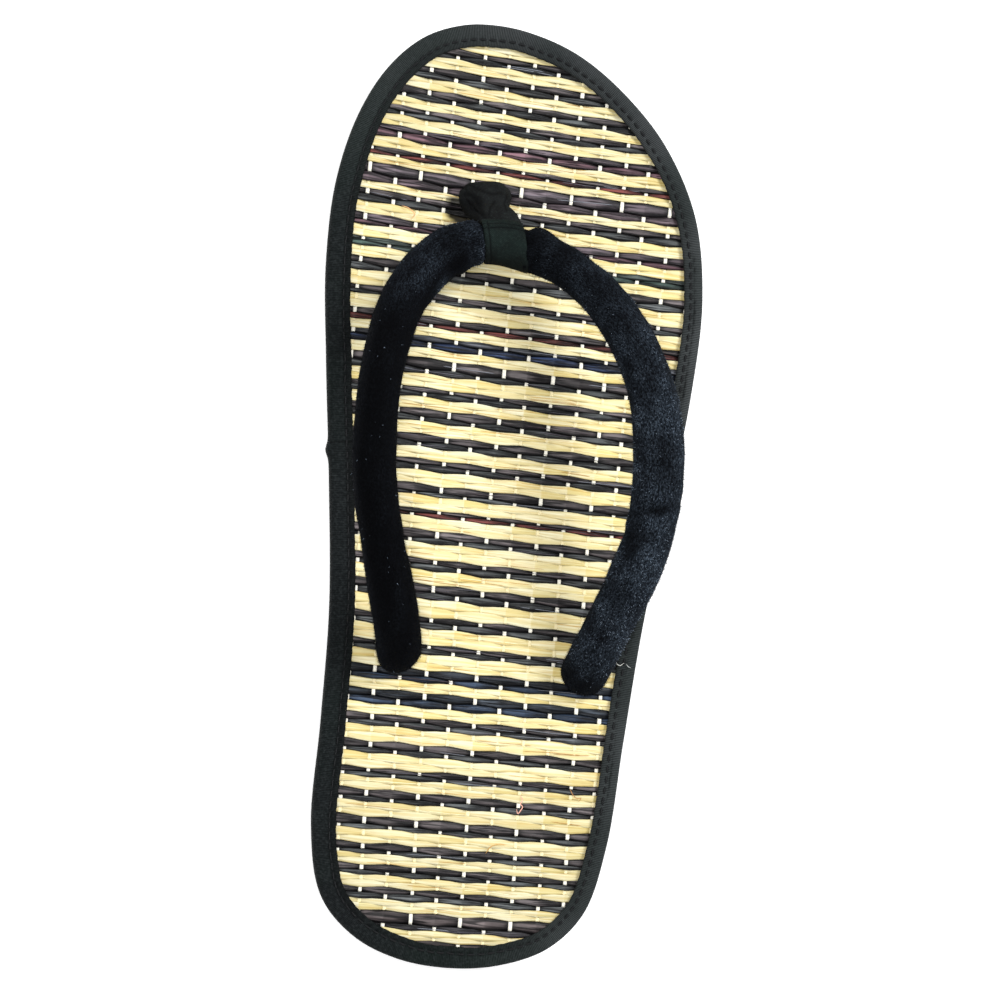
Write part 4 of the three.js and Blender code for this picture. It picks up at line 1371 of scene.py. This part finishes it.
def strap_piece():
    s, rows, c, t, face, side, apex = roll_frames()
    K = 56
    ang = 2 * math.pi * np.arange(K) / K
    rel = s - APEX_AT
    drawn = (GAP + BAND_THICK) * (1 - smooth((np.abs(rel + LOOP_SHIFT) - LOOP_HALF - 0.2) / 1.1))
    wide = rows[:, 3] / 2 - drawn
    thick = rows[:, 4] / 2 - drawn
    # direction round: 0 at the side (u), 90 degrees at the face (v)
    A, R = np.meshgrid(ang, rel)
    deg = (90 - np.degrees(A)) % 360  # 0 on the broad face, growing towards the side u
    d = 0.16 * noise2(R / 9.0 + 40, A * 1.9 + 20, 51) + 0.10 * noise2(R / 4.2 + 60, A * 3.8 + 30, 52)
    for at, where, spread, width, height, slant in FOLDS:
        dd = (deg - where + 180) % 360 - 180
        far = R - at - slant * dd / 90
        d = d + height * np.exp(-((far / width) ** 2)) * np.exp(-((dd / (spread / 1.7)) ** 2))
    calm = smooth((np.abs(R) - 4.5) / 3.0)
    ends = smooth((s - 5.0) / 8.0) * smooth((TRACK.length - s - 5.0) / 8.0)
    d = d * calm * (0.35 + 0.65 * ends)[:, None]
    fold = d.copy()
    # sunk a little where the seam runs along the underside
    dd = (deg - 180 + 180) % 360 - 180
    d = d - 0.35 * np.exp(-((dd / 7.0) ** 2)) * calm
    d = d - pinch_at(R, deg)
    cu, cv = np.cos(A), np.sin(A)
    P = c[:, None, :] + side[:, None, :] * ((wide[:, None] + d) * cu)[..., None] + face[:, None, :] * ((thick[:, None] + d) * cv)[..., None]
    pile = np.stack([R + 200, A * 6.0, np.zeros_like(R)], -1)
    # painted sheen of the pile: how much the nap stands and catches light, outer arm and shoulders most, inner arm
    # hardly
    lateral = smooth((R - 4.0) / 22.0)
    medial = smooth((-R - 4.0) / 3.0) * smooth((50.0 + R) / 24.0)
    nap = 0.04 + 0.46 * smooth((R - 14.0) / 60.0) + 0.38 * lateral + 0.38 * medial
    tail = TRACK.length - APEX_AT
    nap = nap * (1 - 0.8 * smooth((R - tail + 19.0) / 9.0))
    # painted sheen: the medial shoulder shows light nap only along its outer side and low beside the band
    rim = np.cos(np.radians(deg - 305.0))
    shoulder = smooth((-R - 9.0) / 4.0)
    nap = nap * (1 - shoulder * (0.90 - 1.0 * smooth((rim - 0.25) / 0.7)))
    nap = nap + (0.95 * np.exp(-(((R + 8.8) / 2.4) ** 2)) * smooth((np.sin(np.radians(deg)) + 0.15) / 0.5) + 0.75 * np.exp(-(((R + 24.0) / 4.0) ** 2)) * smooth((np.sin(np.radians(deg)) - 0.25) / 0.6))
    nap = nap + 0.20 * np.exp(-(((R - 12.0) / 3.0) ** 2))
    nap = nap * (1 + 0.40 * noise2(R / 13.0 + 30, A * 1.3 + 15, 55))
    nap = nap * (1 + 0.45 * noise2(R / 5.0 + 11, A * 2.0 + 40, 53) + 0.26 * noise2(R / 2.2 + 80, A * 4.0 + 10, 54))
    # painted shade in the fold troughs, a little painted light on the ridges
    nap = nap * np.clip(1 + 1.5 * np.minimum(fold, 0.15), 0.12, 1.3)
    nap = np.clip(nap, 0.02, 1.0)
    st = Stack()
    length_share = (s - s[0]) / (s[-1] - s[0])
    st.tube(P, su=length_share, sv=np.linspace(0, 1, K + 1), pile=pile, nap=nap)
    o = st.make("strap_velvet", velvet_material())
    return o


strap = strap_piece()
finish_piece(strap, "velvet", "strap_roll")


def fuzz_piece(o):
    """Short pile standing off the velvet: small closed spikes."""
    me = o.data
    co = np.zeros(len(me.vertices) * 3, np.float32)
    me.vertices.foreach_get("co", co)
    co = co.reshape(-1, 3) / MM
    nap = np.zeros(len(me.vertices), np.float32)
    me.attributes["nap"].data.foreach_get("value", nap)
    quads = np.array([p.vertices[:] for p in me.polygons if len(p.vertices) == 4])
    a, b, c, d = (co[quads[:, k]] for k in range(4))
    n = np.cross(c - a, d - b)
    area = np.linalg.norm(n, axis=1) / 2
    n = n / (2 * area[:, None])
    r = np.random.default_rng(17)
    count = 40000
    pick = r.choice(len(quads), count, p=area / area.sum())
    u, v = r.uniform(0, 1, (2, count, 1))
    base = (a[pick] * (1 - u) + b[pick] * u) * (1 - v) + (d[pick] * (1 - u) + c[pick] * u) * v
    nn = n[pick]
    lay = np.array([0.15, -0.55, 0.0])  # the pile is brushed towards the heel
    way = nn + 0.45 * lay + 0.55 * r.normal(0, 1, (count, 3))
    way /= np.linalg.norm(way, axis=1)[:, None]
    long_ = r.uniform(0.25, 0.75, (count, 1))
    e1 = np.cross(way, r.normal(0, 1, (count, 3)))
    e1 /= np.linalg.norm(e1, axis=1)[:, None]
    e2 = np.cross(way, e1)
    # painted glints: a few spikes made pale; each spike's brightness follows the painted sheen of the velvet under it
    painted_glint = r.uniform(0, 1, count) < 0.006
    painted_spike_sheen = nap[quads[pick, 0]] * r.uniform(0, 1, count) ** 2.5
    painted_spike_sheen = np.where(painted_glint, np.maximum(painted_spike_sheen, r.uniform(0.45, 1.0, count)), painted_spike_sheen)
    rad = (0.040 + 0.045 * np.clip(painted_spike_sheen * 1.6, 0, 1))[:, None]
    pts = np.stack([base - nn * 0.08 + rad * (math.cos(k * 2.0944) * e1 + math.sin(k * 2.0944) * e2) for k in range(3)] + [base + way * long_], 1)
    low = pts.reshape(-1, 3)
    f = np.arange(count)[:, None] * 4
    tri = np.concatenate([f + [0, 1, 3], f + [1, 2, 3], f + [2, 0, 3], f + [2, 1, 0]])
    s = Stack()
    s.v.append(low)
    s.f.append(tri)
    side = 200
    cell = np.stack([np.arange(count) % side, np.arange(count) // side], 1) / side
    corner = np.array([[0.1, 0.1], [0.9, 0.1], [0.5, 0.9]]) / side
    s.uv.append((cell[:, None] + corner[None])[np.tile(np.arange(count), 4)].reshape(-1, 2))
    s.att["painted_spike_sheen"] = [np.repeat(painted_spike_sheen, 4)[:, None]]
    s.n = len(low)
    m = Nodes("velvet_pile")
    # the spikes' colour follows their painted sheen, pale where a glint is painted
    m.set(Base_Color=m.ramp(m.attribute("painted_spike_sheen"), [(0.0, srgb(6, 7, 9)), (0.35, srgb(24, 29, 35)), (1.0, srgb(140, 155, 172))]), Roughness=0.9)
    m.bsdf.inputs["Specular IOR Level"].default_value = 0.05
    return s.make("strap_pile", m.mat)


finish_piece(fuzz_piece(strap), "velvet")


# ------------------------------------------------------------------ toe loop
def loop_piece():
    s_all, rows, c, t, face, side, apex = roll_frames()
    st = Stack()
    # the band: tape wrapped once round the roll, ends folded in
    turn = math.radians(LOOP_TURN)
    K = 160
    ang = 2 * math.pi * np.arange(K) / K
    N = 49
    across = np.linspace(-LOOP_HALF, LOOP_HALF, N) - LOOP_SHIFT
    axis = np.array([math.cos(turn), math.sin(turn), 0.0])  # the band's sides stand square to this
    centre = c[apex]
    outer = np.zeros((N, K, 3))
    inner = np.zeros((N, K, 3))
    mark = np.zeros((N, K))
    for a_i, a in enumerate(across):
        # section of the roll that lies in the plane at this distance from the band's middle
        d = (c - centre) @ axis
        k = int(np.argmin(np.abs(d - a)))
        w = rows[k, 3] / 2
        h = rows[k, 4] / 2
        # plane section taken as the roll's own section, moved along the axis to the plane
        cc = c[k] + t[k] * (a - d[k]) / (t[k] @ axis)
        for j, g in enumerate(ang):
            cu, cv = math.cos(g), math.sin(g)
            edge = LOOP_HALF - abs(a + LOOP_SHIFT)
            deg = math.degrees(g)
            top = 1.0 if -25 < deg < 150 else 0.0
            lift = GAP + 0.04 - 0.16 * math.exp(-((edge / 0.4) ** 2))
            # a fold runs round close to the medial side, two seams lie across on the toe side
            lift += top * (0.14 * math.exp(-(((a - FOLD_AT + 0.75) / 0.5) ** 2)) - 0.22 * math.exp(-(((a - FOLD_AT) / 0.2) ** 2)))
            lift += 0.20 * math.exp(-(((deg - 132.5) / 3.6) ** 2)) - 0.20 * math.exp(-(((deg - 126) / 2.0) ** 2)) - 0.20 * math.exp(-(((deg - 139.5) / 2.0) ** 2))
            lift += 0.07 * noise_point(a * 0.5, g * 2.2)
            draw = float(pinch_at(a, 90 - deg))  # here the angle is counted from the heel side
            # painted shade along the fold and in the two seams
            mark[a_i, j] = max(top * math.exp(-(((a - FOLD_AT) / 0.2) ** 2)), math.exp(-(((deg - 126) / 1.9) ** 2)), math.exp(-(((deg - 139.5) / 1.9) ** 2)))
            # painted shade: the heel side turns away from the light
            mark[a_i, j] = max(mark[a_i, j], 0.85 * (1 - float(smooth(((deg if deg < 200 else deg - 360) + 5) / 82.0))))
            pu = side[k] * (w + lift - draw) * cu + face[k] * (h + lift - draw) * cv
            pu = pu - t[k] * ((pu @ axis) / (t[k] @ axis))  # keeps the point in the plane
            outer[a_i, j] = cc + pu
            qi = side[k] * (w - GAP - BAND_THICK + 0.16 - draw) * cu + face[k] * (h - GAP - BAND_THICK + 0.16 - draw) * cv
            qi = qi - t[k] * ((qi @ axis) / (t[k] @ axis))
            inner[a_i, j] = cc + qi
    return outer, inner, ang, across, mark


def noise_point(x, y):
    return float(noise2(np.array([x + 30.0]), np.array([y + 30.0]), 71)[0])


THONG_TRACK = Track(THONG)
FOLD_AT = -LOOP_SHIFT - LOOP_HALF + 1.35
# lumps of the gathered tape: x, y, height over the mat, radius across, radius up
CORDS = [
    [(-10.4, 69.8, 13.2, 0.7, 0.6), (-11.2, 71.0, 11.6, 1.2, 1.0), (-12.4, 72.6, 8.6, 1.6, 1.3), (-13.8, 74.8, 5.4, 1.9, 1.5), (-15.0, 77.2, 3.6, 1.9, 1.6), (-15.2, 79.0, 2.6, 1.6, 1.5), (-14.0, 80.4, 1.4, 1.2, 1.2)],
    [(-4.2, 73.4, 9.0, 0.7, 0.6), (-5.0, 75.6, 6.6, 1.2, 1.1), (-5.2, 77.8, 4.2, 1.5, 1.4), (-6.3, 79.8, 3.2, 1.5, 1.5), (-8.6, 80.8, 3.0, 1.5, 1.5), (-11.4, 80.9, 3.0, 1.5, 1.4), (-13.6, 80.0, 2.8, 1.4, 1.3), (-15.2, 78.6, 2.2, 1.0, 1.0)],
    [(-12.6, 73.0, 8.8, 0.5, 0.5), (-13.0, 75.0, 6.8, 1.1, 0.9), (-12.0, 77.2, 5.6, 1.3, 1.1), (-9.8, 78.6, 5.3, 1.3, 1.1), (-7.4, 78.4, 5.2, 1.0, 0.9), (-5.8, 77.4, 5.0, 0.6, 0.5)],
]


def thong_shell():
    """The tape led from the band's front down into the mat: narrow at the neck, flared and folded below."""
    N, K = 64, 96
    s = np.linspace(0, THONG_TRACK.length, N)
    r = THONG_TRACK.read(s)
    c = over_mat(r)
    a = np.radians(r[:, 5])
    across = np.array([1, 0.12, 0]) / math.hypot(1, 0.12)
    along = np.stack([0 * a, np.cos(a), -np.sin(a)], 1)
    face = np.cross(along, across)
    face /= np.linalg.norm(face, axis=1)[:, None]
    ang = 2 * math.pi * np.arange(K) / K
    A, S = np.meshgrid(ang, s)
    cu = np.sign(np.cos(A)) * np.abs(np.cos(A)) ** 0.75
    cv = np.sign(np.sin(A)) * np.abs(np.sin(A)) ** 0.75
    # folds fan out from the neck: troughs at fixed directions, deeper below
    flare = smooth((S - 3.0) / 7.0) * (1 - 0.7 * smooth((S - 15.0) / 3.0))
    d = np.zeros_like(A)
    for where, width, deep in ((150, 13, -0.95), (118, 9, 0.30), (46, 10, -0.60), (28, 9, 0.30), (92, 9, -0.22), (72, 10, 0.16), (210, 14, -0.5), (330, 14, -0.4)):
        dd = (np.degrees(A) - where + 180) % 360 - 180
        d = d + deep * np.exp(-((dd / width) ** 2))
    d = d * flare
    d = d + 0.10 * noise2(S * 0.5 + 9, A * 2.5 + 20, 73)
    P = c[:, None, :] + across[None, None, :] * ((r[:, 3] / 2)[:, None] * cu + d * np.cos(A))[..., None] + face[:, None, :] * ((r[:, 4] / 2)[:, None] * cv + d * np.sin(A))[..., None]
    # the lateral edge is drawn in between the neck and the flare
    P[..., 0] -= 1.25 * np.exp(-(((P[..., 1] - 76.3) / 1.5) ** 2)) * clamp01(np.cos(A)) ** 1.5
    return P, S, A, s


def line_distance(x, y, line):
    best = np.full(np.shape(x), 1e9)
    for (x0, y0), (x1, y1) in zip(line[:-1], line[1:]):
        ux, uy = x1 - x0, y1 - y0
        w = clamp01(((x - x0) * ux + (y - y0) * uy) / (ux * ux + uy * uy))
        best = np.minimum(best, np.hypot(x - x0 - w * ux, y - y0 - w * uy))
    return best


CREASES = [  # dark creases painted as shade on the gathered tape: lines seen from above, with their widths
    ([(-14.6, 81.4), (-12.6, 80.4), (-10.6, 79.4), (-8.6, 79.0), (-6.4, 79.6)], 0.42),
    ([(-16.0, 78.8), (-13.6, 78.2), (-11.6, 76.8), (-11.8, 74.6), (-11.0, 72.6)], 0.85),
    ([(-5.0, 74.4), (-5.6, 76.6), (-4.6, 79.4)], 0.34),
    ([(-9.6, 72.6), (-9.2, 75.0), (-8.0, 77.0)], 0.28),
]


def crease_mark(P):
    # painted shade in the creases of the gathered tape
    m = np.zeros(P.shape[:2])
    for line, width in CREASES:
        m = np.maximum(m, np.exp(-((line_distance(P[..., 0], P[..., 1], line) / width) ** 2)))
    # painted shadow: the medial side under the neck lies in the dark
    dark = smooth((-10.8 - P[..., 0]) / 1.6) * smooth((78.6 - P[..., 1]) / 2.2)
    return np.clip(np.maximum(0.95 * m, 0.9 * dark), 0, 1)


def toe_loop_piece():
    outer, inner, ang, across, mark = loop_piece()
    st = Stack()
    N, K = outer.shape[:2]
    # one closed ring: outside from edge to edge, round the edge, and back inside
    loops = [outer[i] for i in range(N)]
    back = [inner[N - 1 - i] for i in range(0, N, 4)]
    ring = np.array(loops + back)
    M = len(ring)
    grid = np.arange(M * K).reshape(M, K)
    a, b = grid, np.roll(grid, -1, 1)
    c, d = np.roll(np.roll(grid, -1, 0), -1, 1), np.roll(grid, -1, 0)
    quads = np.stack([a, b, c, d], -1).reshape(-1, 4)
    flat = ring.reshape(-1, 3)
    mid = flat.mean(0)
    va, vb, vc, vd = (flat[quads[:, i]] - mid for i in range(4))
    vol = (va * np.cross(vb, vc)).sum() + (va * np.cross(vc, vd)).sum()
    i = np.arange(M)[:, None] + np.zeros((1, K))
    k = np.arange(K)[None] + np.zeros((M, 1))
    uu = np.zeros((M, K, 4, 2))
    uu[..., 0, 0] = uu[..., 1, 0] = i / M * 0.5
    uu[..., 2, 0] = uu[..., 3, 0] = (i + 1) / M * 0.5
    uu[..., 0, 1] = uu[..., 3, 1] = k / K
    uu[..., 1, 1] = uu[..., 2, 1] = (k + 1) / K
    uu = uu.reshape(-1, 4, 2)
    if vol < 0:
        quads, uu = quads[:, ::-1], uu[:, ::-1]
    st.v.append(flat)
    st.f.append(quads)
    st.uv.append(uu.reshape(-1, 2))
    al = np.concatenate([across, across[::-1][::4][: M - N]])
    weave = np.stack([np.repeat(al[:, None], K, 1), np.repeat((ang * 6.0)[None], M, 0), np.zeros((M, K))], -1)
    st.att["weave"] = [weave.reshape(-1, 3)]
    # painted shade: the inside of the band is fully dark
    st.att["mark"] = [np.concatenate([mark, np.ones((M - N, K))]).reshape(-1, 1)]
    st.n += len(flat)
    P, S, A, s = thong_shell()
    weave = np.stack([A * 3.5, S, np.ones_like(S)], -1)
    st.tube(P, su=0.5 + 0.3 * s / s[-1], sv=np.linspace(0, 1, P.shape[1] + 1), weave=weave, mark=crease_mark(P))
    for c_i, cord in enumerate(CORDS):
        tr = Track(cord)
        s = np.linspace(0, tr.length, 40)
        r = tr.read(s)
        c = np.column_stack([r[:, 0], r[:, 1], mat_at(r[:, 1]) + r[:, 2]])
        tg = np.gradient(c, axis=0)
        tg /= np.linalg.norm(tg, axis=1)[:, None]
        sd = np.cross(tg, [0, 0, 1.0])
        sd /= np.linalg.norm(sd, axis=1)[:, None]
        up = np.cross(sd, tg)
        a = 2 * math.pi * np.arange(28) / 28
        lump = 1 + 0.10 * noise2(s[:, None] * 0.6 + 7 * c_i + 20, a[None] * 1.3 + 20, 74)
        P = c[:, None] + sd[:, None] * (r[:, 3:4] * np.cos(a)[None] * lump)[..., None] + up[:, None] * (r[:, 4:5] * np.sin(a)[None] * lump)[..., None]
        S, A = np.repeat(s[:, None], 28, 1), np.repeat(a[None], 40, 0)
        v = (c_i + np.linspace(0.03, 0.97, 29)) / 3
        st.tube(P, su=0.82 + 0.16 * s / s[-1], sv=v, weave=np.stack([A * 1.5, S, np.ones_like(S)], -1), mark=crease_mark(P))
    return st.make("toe_loop_tape", twill_material())


finish_piece(toe_loop_piece(), "loop_tape", "toe_loop")

# ------------------------------------------------------------------ sizes
tris = {o.name: sum(len(p.vertices) - 2 for p in o.data.polygons) for o in bpy.context.scene.objects if o.type == "MESH" and "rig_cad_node" not in o}
print("triangles", tris, "total", sum(tris.values()))
